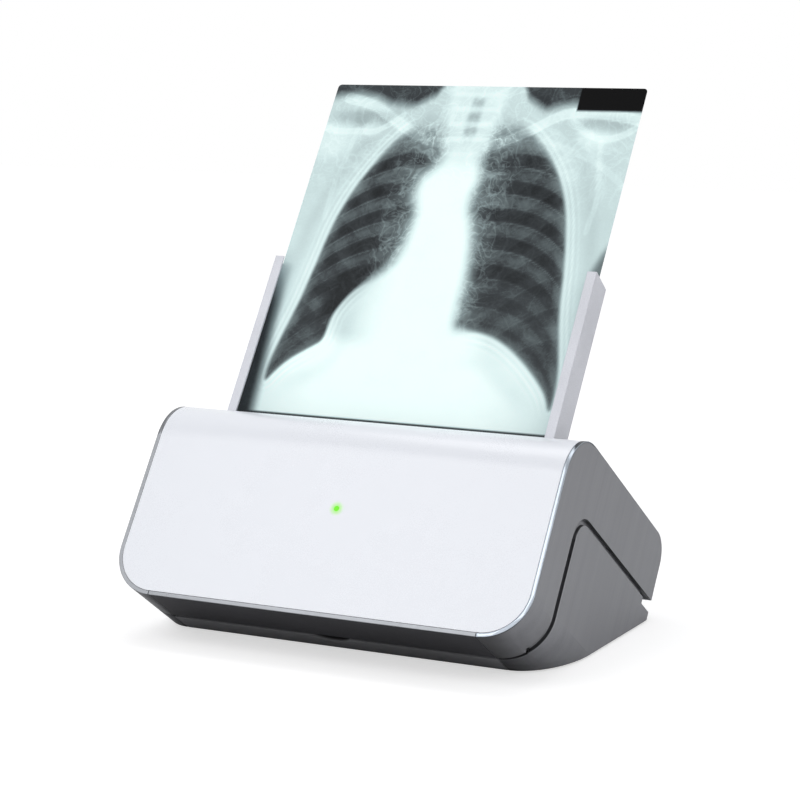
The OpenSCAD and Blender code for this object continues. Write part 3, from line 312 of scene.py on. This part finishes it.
def makeLampLook():
    material, tree, shader = newMaterial("lampGreen", {
        "Base Color": fromScreen(*lamp["body"]), "Roughness": lamp["rough"],
        "Specular IOR Level": lamp["shine"], "Emission Strength": lamp["glow"]})
    place = tree.nodes.new("ShaderNodeTexCoord").outputs
    effect = useEffect(tree, "handling", place["Object"], lamp["spread"])
    glow = mixNode(tree, effect["Tone"], fromScreen(*lamp["glowFrom"]), fromScreen(*lamp["glowTo"]))
    feed(tree, glow, shader["Emission Color"])
    return material


looks["lampGreen"] = makeLampLook()

nodeLooks = {
    "panelLacquer": ["front_panel"],
    "polishedRim": ["right_trim"],
    "shadedRimCopy": ["left_trim", "bottom_trim"],
    "brushedCheek": ["left_cheek", "right_cheek", "base_left_cheek", "base_right_cheek"],
    "darkUnderside": ["lower_strip"],
    "baseStrip": ["base_front_strip"],
    "rearPaint": ["rear_cover"],
    "slotPlastic": ["entry_bezel", "rocker_frame", "dc_jack"],
    "guidePaint": ["left_film_guide", "right_film_guide"],
    "innerSheet": ["front_guide_plate", "cover_tray", "base_deck"],
    "innerPaint": ["left_side_plate", "right_side_plate", "cross_rails", "bottom_plate", "base_side_plates",
                   "cover_hinge_leaves", "base_hinge_ears"],
    "bushBronze": ["cover_bearings", "base_bearings"],
    "springSteel": ["upper_idler_springs", "lower_idler_springs"],
    "milkyWindow": ["light_diffuser"],
    "boardGreen": ["led_strip", "main_board", "status_board"],
    "blackMetal": ["optical_duct", "camera_housing", "camera_lens", "light_heat_sink", "feed_motor"],
    "chipBlack": ["board_parts"],
    "beltRubber": ["drive_belt"],
    "lampGreen": ["status_light"],
    "portSteel": ["usb_port"],
    "shaftSteel": ["upper_drive_shaft", "lower_drive_shaft", "upper_idler_shaft", "lower_idler_shaft", "hinge_pins",
                   "base_screws"],
    "rollerRubber": ["upper_drive_sleeve", "lower_drive_sleeve", "upper_idler_sleeve", "lower_idler_sleeve"],
    "pulleyAlloy": ["upper_drive_pulley", "lower_drive_pulley", "motor_pulley"],
    "rockerPlastic": ["rocker_button"],
    "magnetPlating": ["catch_magnets"],
    "footRubber": ["rubber_feet"],
}
for look, names in nodeLooks.items():
    for name in names:
        for place in nodes[name].material_slots:
            place.material = looks[look]
print("finishes on", sum(len(v) for v in nodeLooks.values()), "nodes")

# Small rounded edges on the pieces that show, wider along the groove where the base cheeks meet the cover
edges = {"width": 0.0005, "wide": 0.0009, "segments": 2, "angle": 32, "weld": 0.000002, "flat": 0.5}
wideNodes = ["base_left_cheek", "base_right_cheek"]
roundedNodes = ["left_cheek", "right_cheek", "left_trim", "right_trim", "bottom_trim", "lower_strip", "rear_cover",
                "entry_bezel", "left_film_guide", "right_film_guide", "base_front_strip"] + wideNodes


def roundEdges(name):
    piece = nodes[name]
    weld = piece.modifiers.new("weld", "WELD")
    weld.merge_threshold = edges["weld"]
    flat = piece.modifiers.new("flat", "DECIMATE")
    flat.decimate_type = "DISSOLVE"
    flat.angle_limit = math.radians(edges["flat"])
    bevel = piece.modifiers.new("edge", "BEVEL")
    bevel.width = edges["wide" if name in wideNodes else "width"]
    bevel.use_clamp_overlap = name not in wideNodes
    bevel.segments = edges["segments"]
    bevel.limit_method = "ANGLE"
    bevel.angle_limit = math.radians(edges["angle"])
    bevel.harden_normals = True


for name in roundedNodes:
    roundEdges(name)
print("edges rounded on", len(roundedNodes), "nodes")


def addPiece(bm, name, material):
    mesh = bpy.data.meshes.new(name)
    bm.to_mesh(mesh)
    bm.free()
    mesh.materials.append(material)
    piece = bpy.data.objects.new(name, mesh)
    bpy.context.scene.collection.objects.link(piece)
    return piece


def finishPiece(bm, name, look, carrier):
    piece = addPiece(bm, name, looks[look])
    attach(piece, carrier)
    return piece


# The film: a thin sheet with round corners; its picture is a blackening worked out at each of its points
film = {"width": 0.3556, "length": 0.4318, "inside": 0.0308, "thick": 0.0002, "corner": 0.004,
        "across": 192, "along": 234}
# through: painted light, the film's own glow, standing in for light from behind
filmLook = {"rough": 0.30, "shine": 0.06, "through": 0.18, "grainSize": 420, "clouds": 30, "grain": 0.10,
            "stops": ((0.0, (238, 255, 253)), (0.22, (206, 226, 226)), (0.50, (142, 158, 160)),
                      (0.80, (58, 63, 66)), (0.93, (5, 5, 6)))}
fullTurn = 6.283  # radians

# The picture is drawn in u across and v up the film, both from 0 to 1; 0 is clear film and 1 full black


def ease(low, high, x):
    t = np.clip((x - low) / (high - low), 0, 1)
    return t * t * (3 - 2 * t)


def band(distance, half, soft):
    return 1 - ease(half - soft, half + soft, np.abs(distance))


def toward(black, value, share):
    return black + (value - black) * share


def blob(u, v, centreU, centreV, radiusU, radiusV, soft):
    d = np.sqrt(((u - centreU) / radiusU) ** 2 + ((v - centreV) / radiusV) ** 2)
    return 1 - ease(1 - soft, 1 + soft, d)


def wave(u, v, scale, seed):  # a smooth wander, the same on each run
    total = np.zeros_like(u)
    for k in range(1, 6):
        a = seed * 1.7 + k * 2.39
        total += np.sin(scale * k * (u * math.cos(a) + v * math.sin(a)) * fullTurn + a * 3.1) / k
    return total / 2.3


def rounded(points, closed=True, times=3):  # cuts the corners of a line of points
    line = [Vector(p) for p in points]
    for _ in range(times):
        pairs = list(zip(line, line[1:] + line[:1] if closed else line[1:]))
        cut = [q for a, b in pairs for q in (a.lerp(b, 0.25), a.lerp(b, 0.75))]
        line = cut if closed else [line[0]] + cut + [line[-1]]
    return np.array([(p.x, p.y) for p in line])


def lineDistance(u, v, line, closed=False):  # distance to a line of points, and whether it surrounds the place
    best = np.full_like(u, 9.0)
    inside = np.zeros(u.shape, dtype=bool)
    ends = np.roll(line, -1, axis=0) if closed else line[1:]
    for (au, av), (bu, bv) in zip(line, ends):
        du, dv = bu - au, bv - av
        t = np.clip(((u - au) * du + (v - av) * dv) / (du * du + dv * dv), 0, 1)
        best = np.minimum(best, np.hypot(u - au - t * du, v - av - t * dv))
        if closed:
            crossed = ((av > v) != (bv > v)) & (u < du * (v - av) / (dv if dv else 1e-9) + au)
            inside ^= crossed
    return np.where(inside, best, -best) if closed else best


lungs = {
    "left": rounded([(0.355, 0.897), (0.401, 0.875), (0.421, 0.837), (0.418, 0.793), (0.395, 0.766), (0.362, 0.739),
                     (0.358, 0.696), (0.375, 0.663), (0.382, 0.630), (0.375, 0.587), (0.375, 0.554), (0.362, 0.516),
                     (0.329, 0.484), (0.283, 0.451), (0.250, 0.424), (0.226, 0.391), (0.211, 0.359), (0.208, 0.326),
                     (0.205, 0.290), (0.178, 0.274), (0.145, 0.255), (0.112, 0.234), (0.079, 0.201), (0.058, 0.170),
                     (0.055, 0.217), (0.063, 0.261), (0.075, 0.315), (0.092, 0.380), (0.105, 0.457), (0.116, 0.533),
                     (0.125, 0.598), (0.145, 0.663), (0.168, 0.717), (0.197, 0.766), (0.230, 0.815), (0.270, 0.859),
                     (0.309, 0.888)]),
    "right": rounded([(0.599, 0.899), (0.566, 0.886), (0.546, 0.853), (0.542, 0.804), (0.553, 0.766), (0.559, 0.728),
                      (0.546, 0.696), (0.553, 0.652), (0.572, 0.620), (0.592, 0.565), (0.599, 0.511), (0.603, 0.457),
                      (0.603, 0.391), (0.604, 0.346), (0.632, 0.342), (0.684, 0.339), (0.737, 0.328), (0.789, 0.304),
                      (0.842, 0.270), (0.895, 0.228), (0.934, 0.190), (0.955, 0.145), (0.957, 0.196), (0.950, 0.250),
                      (0.932, 0.315), (0.912, 0.380), (0.899, 0.446), (0.888, 0.511), (0.875, 0.565), (0.858, 0.630),
                      (0.836, 0.690), (0.803, 0.750), (0.757, 0.804), (0.711, 0.848), (0.664, 0.880)]),
}
bones = [  # collar bones, shoulder blades and arm heads: a line, half its width, strength
    ([(0.05, 0.962), (0.145, 0.942), (0.21, 0.908), (0.283, 0.870), (0.35, 0.845), (0.41, 0.838)], 0.012, 0.20),
    ([(0.55, 0.830), (0.632, 0.859), (0.684, 0.883), (0.737, 0.915), (0.789, 0.931), (0.895, 0.928), (1.0, 0.912)],
     0.012, 0.20),
    ([(0.00, 0.875), (0.05, 0.862), (0.11, 0.868), (0.165, 0.862), (0.21, 0.885), (0.25, 0.915)], 0.006, 0.14),
    ([(0.11, 0.87), (0.10, 0.79), (0.085, 0.71), (0.09, 0.62)], 0.005, 0.07),
    ([(0.80, 0.905), (0.845, 0.875), (0.90, 0.855), (0.96, 0.868), (1.0, 0.895)], 0.007, 0.15),
    ([(0.70, 0.86), (0.80, 0.83), (0.90, 0.80), (1.0, 0.735)], 0.006, 0.08),
    ([(0.90, 0.85), (0.915, 0.78), (0.935, 0.70), (0.925, 0.61)], 0.005, 0.09),
]
curves = {  # the bright middle and its half width up the film, and the line of the shoulders across it
    "middle": ((0.0, 0.35, 0.42, 0.5, 0.6, 0.7, 0.8, 1.0),
               (0.45, 0.42, 0.445, 0.475, 0.473, 0.455, 0.47, 0.48)),
    "halfWidth": ((0.0, 0.30, 0.42, 0.5, 0.6, 0.75, 0.8, 1.0),
                  (0.60, 0.28, 0.17, 0.125, 0.10, 0.10, 0.07, 0.09)),
    "shoulders": ((0, 0.08, 0.14, 0.20, 0.28, 0.34, 0.40, 0.58, 0.64, 0.70, 0.78, 0.9, 1.0),
                  (0.955, 0.966, 0.958, 0.938, 0.935, 0.965, 1.06, 1.06, 0.960, 0.930, 0.945, 0.945, 0.94)),
}
patches = [  # soft places in the shoulders: centre, radii and how much darker
    (0.03, 0.84, 0.07, 0.05, -0.10), (0.16, 0.875, 0.03, 0.025, -0.10), (0.88, 0.86, 0.05, 0.03, -0.10),
    (0.12, 0.905, 0.09, 0.022, 0.16), (0.90, 0.900, 0.09, 0.02, 0.12),
]
sides = {  # where a lung's ribs start, the way they go, and how they fall outwards
    "left": {"start": 0.42, "way": -1, "fall": 1.9, "power": 2.4},
    "right": {"start": 0.52, "way": 1, "fall": 3.4, "power": 3.5},
}
ribs = {"count": 9, "first": 0.305, "step": 0.075, "rise": 0.05, "half": 0.015, "soft": 0.012, "light": 0.10,
        "edgeAbove": 0.018, "edgeBelow": 0.016, "edgeHalf": 0.0016, "edgeLight": 0.11}
fronts = {"first": 0.22, "step": 0.085, "slope": 0.62, "bend": 1.6, "half": 0.018, "soft": 0.014, "light": 0.045}
fineSoft = 0.0035  # how soft the fine lines are
chestWall = [  # lines outside a lung: distance, half width, light
    (0.010, 0.0030, 0.10), (0.024, 0.0026, 0.13), (0.040, 0.0022, 0.05),
]
spine = {"u": 0.482, "step": 0.042, "black": 0.20}
air = {"lung": 0.87, "left": 0.80, "right": 0.66, "above": 0.80, "darkest": 0.88, "slotShadow": 0.80}


def drawBody(u, v):  # soft tissue with the bright middle and the belly, and the dark above the shoulders
    black = 0.22 + 0.05 * wave(u, v, 0.9, 1.0) + 0.04 * ease(0.35, 0.75, v)
    across = np.abs(u - np.interp(v, *curves["middle"])) / np.interp(v, *curves["halfWidth"])
    bright = (1 - ease(0.75, 1.3, across)) * (1 - 0.45 * ease(0.74, 0.84, v))
    belly = blob(u, v, 0.46, 0.02, 0.56, 0.30, 0.25)
    black = black * (1 - 0.97 * np.maximum(bright, belly)) + 0.16 * belly * ease(0.22, 0.50, np.abs(u - 0.48))
    for centreU, centreV, radiusU, radiusV, darker in patches:
        black = black + darker * blob(u, v, centreU, centreV, radiusU, radiusV, 0.6)
    return toward(black, air["above"], ease(-0.012, 0.030, v - np.interp(u, *curves["shoulders"])))


def lungTone(u, v, depth, out, near, side):  # lighter inwards and upwards, with the ribs behind and in front
    mottle = wave(u, v, 8.0, 2.0 + side["way"]) + 0.6 * wave(u, v, 17.0, 4.0 + side["way"])
    black = air["lung"] - 0.17 * near - 0.10 * (1 - ease(0.0, 0.035, depth)) + (0.05 * near + 0.015) * mottle
    black = black - 0.16 * ease(0.79, 0.90, v) - 0.04 * (1 - ease(0.35, 0.5, v))
    strength = (0.45 + 0.55 * ease(0.40, 0.55, v)) * (0.45 + 0.55 * ease(0.06, 0.2, out))
    for i in range(ribs["count"]):
        line = ribs["first"] + ribs["step"] * i + ribs["rise"] * out - side["fall"] * np.power(out, side["power"])
        rib = band(v - line, ribs["half"], ribs["soft"])
        edge = band(v - line - ribs["edgeAbove"], ribs["edgeHalf"], fineSoft)
        edge = edge + 0.7 * band(v - line + ribs["edgeBelow"], ribs["edgeHalf"], fineSoft)
        black = black - strength * (ribs["light"] * rib + ribs["edgeLight"] * edge)
        line = fronts["first"] + fronts["step"] * i + fronts["slope"] * (out - 0.14)
        line = line - fronts["bend"] * (out - 0.27) ** 2
        crossing = 0.7 * band(v - line, fronts["half"], fronts["soft"])
        crossing = crossing + 0.9 * band(v - line + fronts["half"], 0.0015, fineSoft)
        black = black - fronts["light"] * crossing * ease(0.10, 0.24, out)
    return np.clip(black, 0.05, 0.9)


def drawLung(u, v, black, vessels, name):
    side = sides[name]
    depth = lineDistance(u, v, lungs[name], closed=True)
    out = np.clip((u - side["start"]) * side["way"], 0, 1)
    near = 1 - ease(0.05, 0.19, out)
    soft = 0.006 + 0.020 * (1 - ease(0.06, 0.17, out)) + 0.008 * ease(0.75, 0.85, v)
    mask = ease(-1.3 * soft, soft, depth)
    black = toward(black, lungTone(u, v, depth, out, near, side), mask)
    wall = ease(0.10, 0.18, out) * ease(0.12, 0.2, v)
    for distance, half, light in chestWall:
        black = black - light * band(depth + distance, half, 0.0040) * wall
    black = black + 0.05 * band(depth + 0.075, 0.018, 0.018) * wall
    return black, np.maximum(vessels, mask * (0.15 + 0.85 * near))


def drawBones(u, v, black):  # each brighter along its line and along its edge
    for points, half, light in bones:
        d = lineDistance(u, v, rounded(points, closed=False, times=2))
        black = black - light * (0.55 * band(d, half, 0.008) + 0.55 * band(d - half, 0.0015, fineSoft))
    return black


def drawSpine(u, v, black):  # the upper spine and the windpipe before it
    across = np.abs(u - spine["u"])
    share = (1 - ease(0.050, 0.090, across)) * ease(0.74, 0.86, v)
    steps = np.sin(v * fullTurn / spine["step"])
    black = toward(black, spine["black"], 0.7 * share) - 0.06 * share * ease(0.2, 0.9, steps)
    pipe = band(across, 0.020, 0.010) * ease(0.83, 0.87, v) * (1 - ease(0.95, 0.99, v))
    return black + 0.22 * pipe * (0.70 - 0.30 * steps)


def drawSidesAndSlotShadow(u, v, black):  # air beside the body, and painted shadow: a dark band along the film's lower edge where it comes out of the slot
    edge = u - 0.045 * np.clip((0.50 - v) / 0.5, 0, 1)
    black = toward(black, air["left"], (1 - ease(-0.01, 0.040, edge)) * (1 - ease(0.36, 0.56, v)))
    edge = u - 0.968 - 0.4 * np.clip(v - 0.505, 0, 1)
    black = toward(black, air["right"], ease(-0.014, 0.020, edge) * (1 - ease(0.55, 0.60, v)))
    # painted shadow: the film darkened along its lower edge, where it meets the panel
    return toward(np.clip(black, 0.0, air["darkest"]), air["slotShadow"], 1 - ease(0.0945, 0.0985, v))


def drawPicture(u, v):  # the blackening, and how much of the vessels' net shows
    black, vessels = drawBody(u, v), np.zeros_like(u)
    for name in sides:
        black, vessels = drawLung(u, v, black, vessels, name)
    heart = blob(u, v, 0.335, 0.375, 0.14, 0.11, 0.35)  # its edge is seen through the lung
    black = black + 0.27 * heart * (1 - ease(0.21, 0.40, u)) * ease(0.26, 0.32, v)
    black = drawSidesAndSlotShadow(u, v, drawSpine(u, v, drawBones(u, v, black)))
    vessels = np.maximum(vessels, 0.35 * (1 - ease(0.2, 0.3, np.abs(u - spine["u"]))) * ease(0.76, 0.86, v))
    vessels = np.maximum(vessels, 0.30 * ease(0.60, 0.80, v))
    label = ease(0.797, 0.801, u) * ease(0.934, 0.938, v)  # a blank black patch
    return toward(black, 1, label), vessels * (1 - label)


def attribute(tree, name):
    node = tree.nodes.new("ShaderNodeAttribute")
    node.attribute_name = name
    return node.outputs["Fac"]


def makeFilmLook():  # its glow is painted light, standing in for light that comes through from behind
    material, tree, shader = newMaterial("filmPicture", {
        "Roughness": filmLook["rough"], "Specular IOR Level": filmLook["shine"],
        "Emission Strength": filmLook["through"]})
    place = tree.nodes.new("ShaderNodeTexCoord").outputs
    effect = useEffect(tree, "grain", place["Object"], filmLook["grainSize"], filmLook["clouds"])
    shift = mathNode(tree, "MULTIPLY_ADD", effect["Tone"], filmLook["grain"], -filmLook["grain"] / 2)
    veins = useEffect(tree, "vessels", place["Object"])
    lighter = mathNode(tree, "MULTIPLY", attribute(tree, "vesselShare"), veins["Tone"])
    total = mathNode(tree, "SUBTRACT", mathNode(tree, "ADD", attribute(tree, "blackening"), shift), lighter)
    ramp = tree.nodes.new("ShaderNodeValToRGB")
    while len(ramp.color_ramp.elements) < len(filmLook["stops"]):
        ramp.color_ramp.elements.new(0.5)
    for element, (where, colour) in zip(ramp.color_ramp.elements, filmLook["stops"]):
        element.position = where
        element.color = fromScreen(*colour)
    feed(tree, total, ramp.inputs["Fac"])
    feed(tree, ramp.outputs["Color"], shader["Base Color"])
    feed(tree, ramp.outputs["Color"], shader["Emission Color"])
    return material


looks["filmPicture"] = makeFilmLook()


def makeFilm():
    bm = bmesh.new()
    bmesh.ops.create_grid(bm, x_segments=film["across"], y_segments=film["along"], size=0.5)
    halfW, halfL, r = film["width"] / 2, film["length"] / 2, film["corner"]
    bm.verts.layers.float.new("blackening")
    bm.verts.layers.float.new("vesselShare")
    blackening, vesselShare = bm.verts.layers.float["blackening"], bm.verts.layers.float["vesselShare"]
    u = np.array([v.co.x + 0.5 for v in bm.verts])
    v = np.array([v.co.y + 0.5 for v in bm.verts])
    for vert, value, share in zip(bm.verts, *drawPicture(u, v)):
        vert[blackening], vert[vesselShare] = float(value), float(share)
        x, y = vert.co.x * 2 * halfW, vert.co.y * 2 * halfL
        cx, cy = abs(x) - (halfW - r), abs(y) - (halfL - r)
        if cx > 0 and cy > 0:  # a square corner drawn in to a round one
            pull = max(cx, cy) / math.hypot(cx, cy)
            x = math.copysign(halfW - r + cx * pull, x)
            y = math.copysign(halfL - r + cy * pull, y)
        vert.co = (x, -film["thick"] / 2, y + halfL - film["inside"])
    bmesh.ops.transform(bm, matrix=bodyFrame, verts=bm.verts)
    bm.normal_update()
    if next(iter(bm.faces)).normal.y > 0:
        bmesh.ops.reverse_faces(bm, faces=bm.faces)
    piece = finishPiece(bm, "film_sheet", "filmPicture", "film")
    wall = piece.modifiers.new("sheet", "SOLIDIFY")
    wall.thickness = film["thick"]
    wall.offset = -1
    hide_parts("film")


makeFilm()
print("film made")

# Small hardware, placed in the body's own frame
screws = {"radius": 0.0026, "rise": 0.0011, "sides": 24, "rim": 0.0004, "land": 0.0010, "wall": 0.0001,
          "socket": 0.0007}
backward = Matrix.Rotation(math.radians(-90), 4, "X")
downward = Matrix.Rotation(math.radians(180), 4, "X")
upward = Matrix.Identity(4)
screwRows = {  # carrier, across, back, up and the way the heads face
    "rear_screws": ("cover", (-0.200, 0.200), (0.220,), (-0.034, -0.058), backward),
    "tray_screws": ("cover", (-0.178, 0.178), (0.030, 0.110, 0.175), (-0.065,), downward),
    "deck_screws": ("base", (-0.180, 0.180), (0.040, 0.110, 0.180), (-0.0721,), upward),
}


def makeScrewHead():  # a flat head with a rounded rim and a round socket
    bm = bmesh.new()
    bmesh.ops.create_cone(bm, cap_ends=True, segments=screws["sides"], radius1=screws["radius"],
                          radius2=screws["radius"], depth=screws["rise"],
                          matrix=Matrix.Translation((0, 0, screws["rise"] / 2)))
    top = max(bm.faces, key=lambda f: f.normal.z)
    bmesh.ops.bevel(bm, geom=list(top.edges), offset=screws["rim"], offset_type="OFFSET", affect="EDGES",
                    segments=2, profile=0.5, material=-1)
    top = max(bm.faces, key=lambda f: (round(f.normal.z, 3), f.calc_area()))
    bmesh.ops.inset_region(bm, faces=[top], thickness=screws["land"], depth=0)
    bmesh.ops.inset_region(bm, faces=[top], thickness=screws["wall"], depth=-screws["socket"])
    mesh = bpy.data.meshes.new("screwHead")
    bm.to_mesh(mesh)
    bm.free()
    return mesh


screwHead = makeScrewHead()


def makeScrews(name, carrier, across, back, up, facing):
    bm = bmesh.new()
    for place in ((x, y, z) for z in up for x in across for y in back):
        known = len(bm.verts)
        bm.from_mesh(screwHead)
        bm.verts.ensure_lookup_table()
        bmesh.ops.transform(bm, matrix=bodyFrame @ Matrix.Translation(place) @ facing, verts=bm.verts[known:])
    finishPiece(bm, name, "screwSteel", carrier)


for name, row in screwRows.items():
    makeScrews(name, *row)
print("screws made")

# On and off marks on the power switch, printed on the two tilted halves of the rocker
rocker = {"x": -0.090, "y": 0.2170, "z": -0.045, "tilt": 8.0, "rise": 0.0045, "slope": 0.1375,
          "line": (0.0004, 0.0022), "ring": (0.0011, 0.0015), "sides": 28, "thick": 0.00012, "apart": 0.0045}


def addRing(bm, inner, outer, thick, sides):
    rings = []
    for radius, depth in ((inner, -thick), (outer, -thick), (outer, thick), (inner, thick)):
        rings.append([bm.verts.new((radius * math.cos(a), depth, radius * math.sin(a)))
                      for a in (i * math.tau / sides for i in range(sides))])
    for one, two in zip(rings, rings[1:] + rings[:1]):
        for i in range(sides):
            j = (i + 1) % sides
            bm.faces.new((one[i], one[j], two[j], two[i]))


def makeRockerMarks():
    bm = bmesh.new()
    slope = math.atan(rocker["slope"])
    pivot = (bodyFrame @ Matrix.Translation((rocker["x"], rocker["y"], rocker["z"]))
             @ Matrix.Rotation(math.radians(rocker["tilt"]), 4, "Z"))
    reach = rocker["rise"] + rocker["slope"] * rocker["apart"]
    for side in (-1, 1):
        known = len(bm.verts)
        if side < 0:
            wide, tall = rocker["line"]
            bmesh.ops.create_cube(bm, size=2, matrix=Matrix.Diagonal((wide, rocker["thick"], tall, 1)))
        else:
            addRing(bm, *rocker["ring"], rocker["thick"], rocker["sides"])
        bm.verts.ensure_lookup_table()
        place = Matrix.Translation((side * rocker["apart"], reach, 0)) @ Matrix.Rotation(side * slope, 4, "Z")
        bmesh.ops.transform(bm, matrix=pivot @ place, verts=bm.verts[known:])
    bmesh.ops.recalc_face_normals(bm, faces=bm.faces)
    finishPiece(bm, "rocker_marks", "markPrint", "rocker")


makeRockerMarks()
print("switch marks made")

# Floor, light and camera
floorPaper = {"size": 6.0, "colour": (0.92, 0.92, 0.93, 1), "rough": 0.9, "shadow": 0.70, "near": 0.6, "far": 2.4,
              "glowNear": 1.97, "glowFar": 2.4}
studio = {"world": 0.46, "background": (1, 1, 1, 1)}
lights = {  # place, aim, size and power
    "keyLight": ((-1.1, -1.9, 2.3), (0, 0, 0.15), (1.8, 1.4), 24),
    "fillLight": ((2.2, -0.6, 1.5), (0, 0, 0.15), (1.4, 1.4), 10),
    "topLight": ((-0.2, 0.7, 2.6), (0, 0, 0.2), (2.0, 1.2), 16),
}
camera = {"place": (1.0570, -2.0682, 0.5962), "turn": (90 - 9.08, 0, 27.13), "focal": 106.67, "sensor": 36,
          "reach": 50}


def makeFloor():  # paper that the camera sees partly glowing, so that its shadow stays soft and its end white
    bm = bmesh.new()
    bmesh.ops.create_grid(bm, x_segments=1, y_segments=1, size=floorPaper["size"])
    material, tree, _ = newMaterial("floorPaper", {
        "Base Color": floorPaper["colour"], "Roughness": floorPaper["rough"], "Specular IOR Level": 0.0})
    place = tree.nodes.new("ShaderNodeTexCoord").outputs
    away = vectorNode(tree, "LENGTH", place["Object"])
    glow = tree.nodes.new("ShaderNodeEmission")
    feed(tree, rangeNode(tree, away, floorPaper["near"], floorPaper["far"], floorPaper["glowNear"],
                         floorPaper["glowFar"]), glow.inputs["Strength"])
    rays = tree.nodes.new("ShaderNodeLightPath").outputs
    mix = tree.nodes.new("ShaderNodeMixShader")
    seen = mathNode(tree, "MULTIPLY", rays["Is Camera Ray"], 1 - floorPaper["shadow"])
    shaded = tree.nodes["Principled BSDF"].outputs["BSDF"]
    for value, socket in zip((seen, shaded, glow.outputs["Emission"]), mix.inputs):
        feed(tree, value, socket)
    feed(tree, mix.outputs["Shader"], tree.nodes["Material Output"].inputs["Surface"])
    addPiece(bm, "floor", material)


def makeWorld():  # white where it is seen, dimmer as a light
    world = bpy.data.worlds.new("studio")
    bpy.context.scene.world = world
    world.use_nodes = True
    tree = world.node_tree
    sky = tree.nodes["Background"].inputs
    rays = tree.nodes.new("ShaderNodeLightPath").outputs
    seen = mathNode(tree, "MAXIMUM", rays["Is Camera Ray"], rays["Is Glossy Ray"])
    seen = mathNode(tree, "MAXIMUM", seen, rays["Is Transmission Ray"])
    sky["Color"].default_value = studio["background"]
    feed(tree, rangeNode(tree, seen, 0, 1, studio["world"], 1), sky["Strength"])


def makeLight(name, place, aim, size, power):
    data = bpy.data.lights.new(name, "AREA")
    data.shape = "RECTANGLE"
    data.size, data.size_y = size
    data.energy = power
    light = bpy.data.objects.new(name, data)
    light.location = place
    light.rotation_euler = (Vector(aim) - Vector(place)).to_track_quat("-Z", "Y").to_euler()
    bpy.context.scene.collection.objects.link(light)


def makeCamera():
    data = bpy.data.cameras.new("camera")
    data.lens = camera["focal"]
    data.sensor_width = camera["sensor"]
    data.clip_end = camera["reach"]
    eye = bpy.data.objects.new("camera", data)
    eye.location = camera["place"]
    eye.rotation_euler = [math.radians(a) for a in camera["turn"]]
    bpy.context.scene.collection.objects.link(eye)
    bpy.context.scene.camera = eye


makeFloor()
makeWorld()
for name, spec in lights.items():
    makeLight(name, *spec)
makeCamera()
bpy.context.scene.view_settings.view_transform = "Standard"
print("floor, light and camera set")
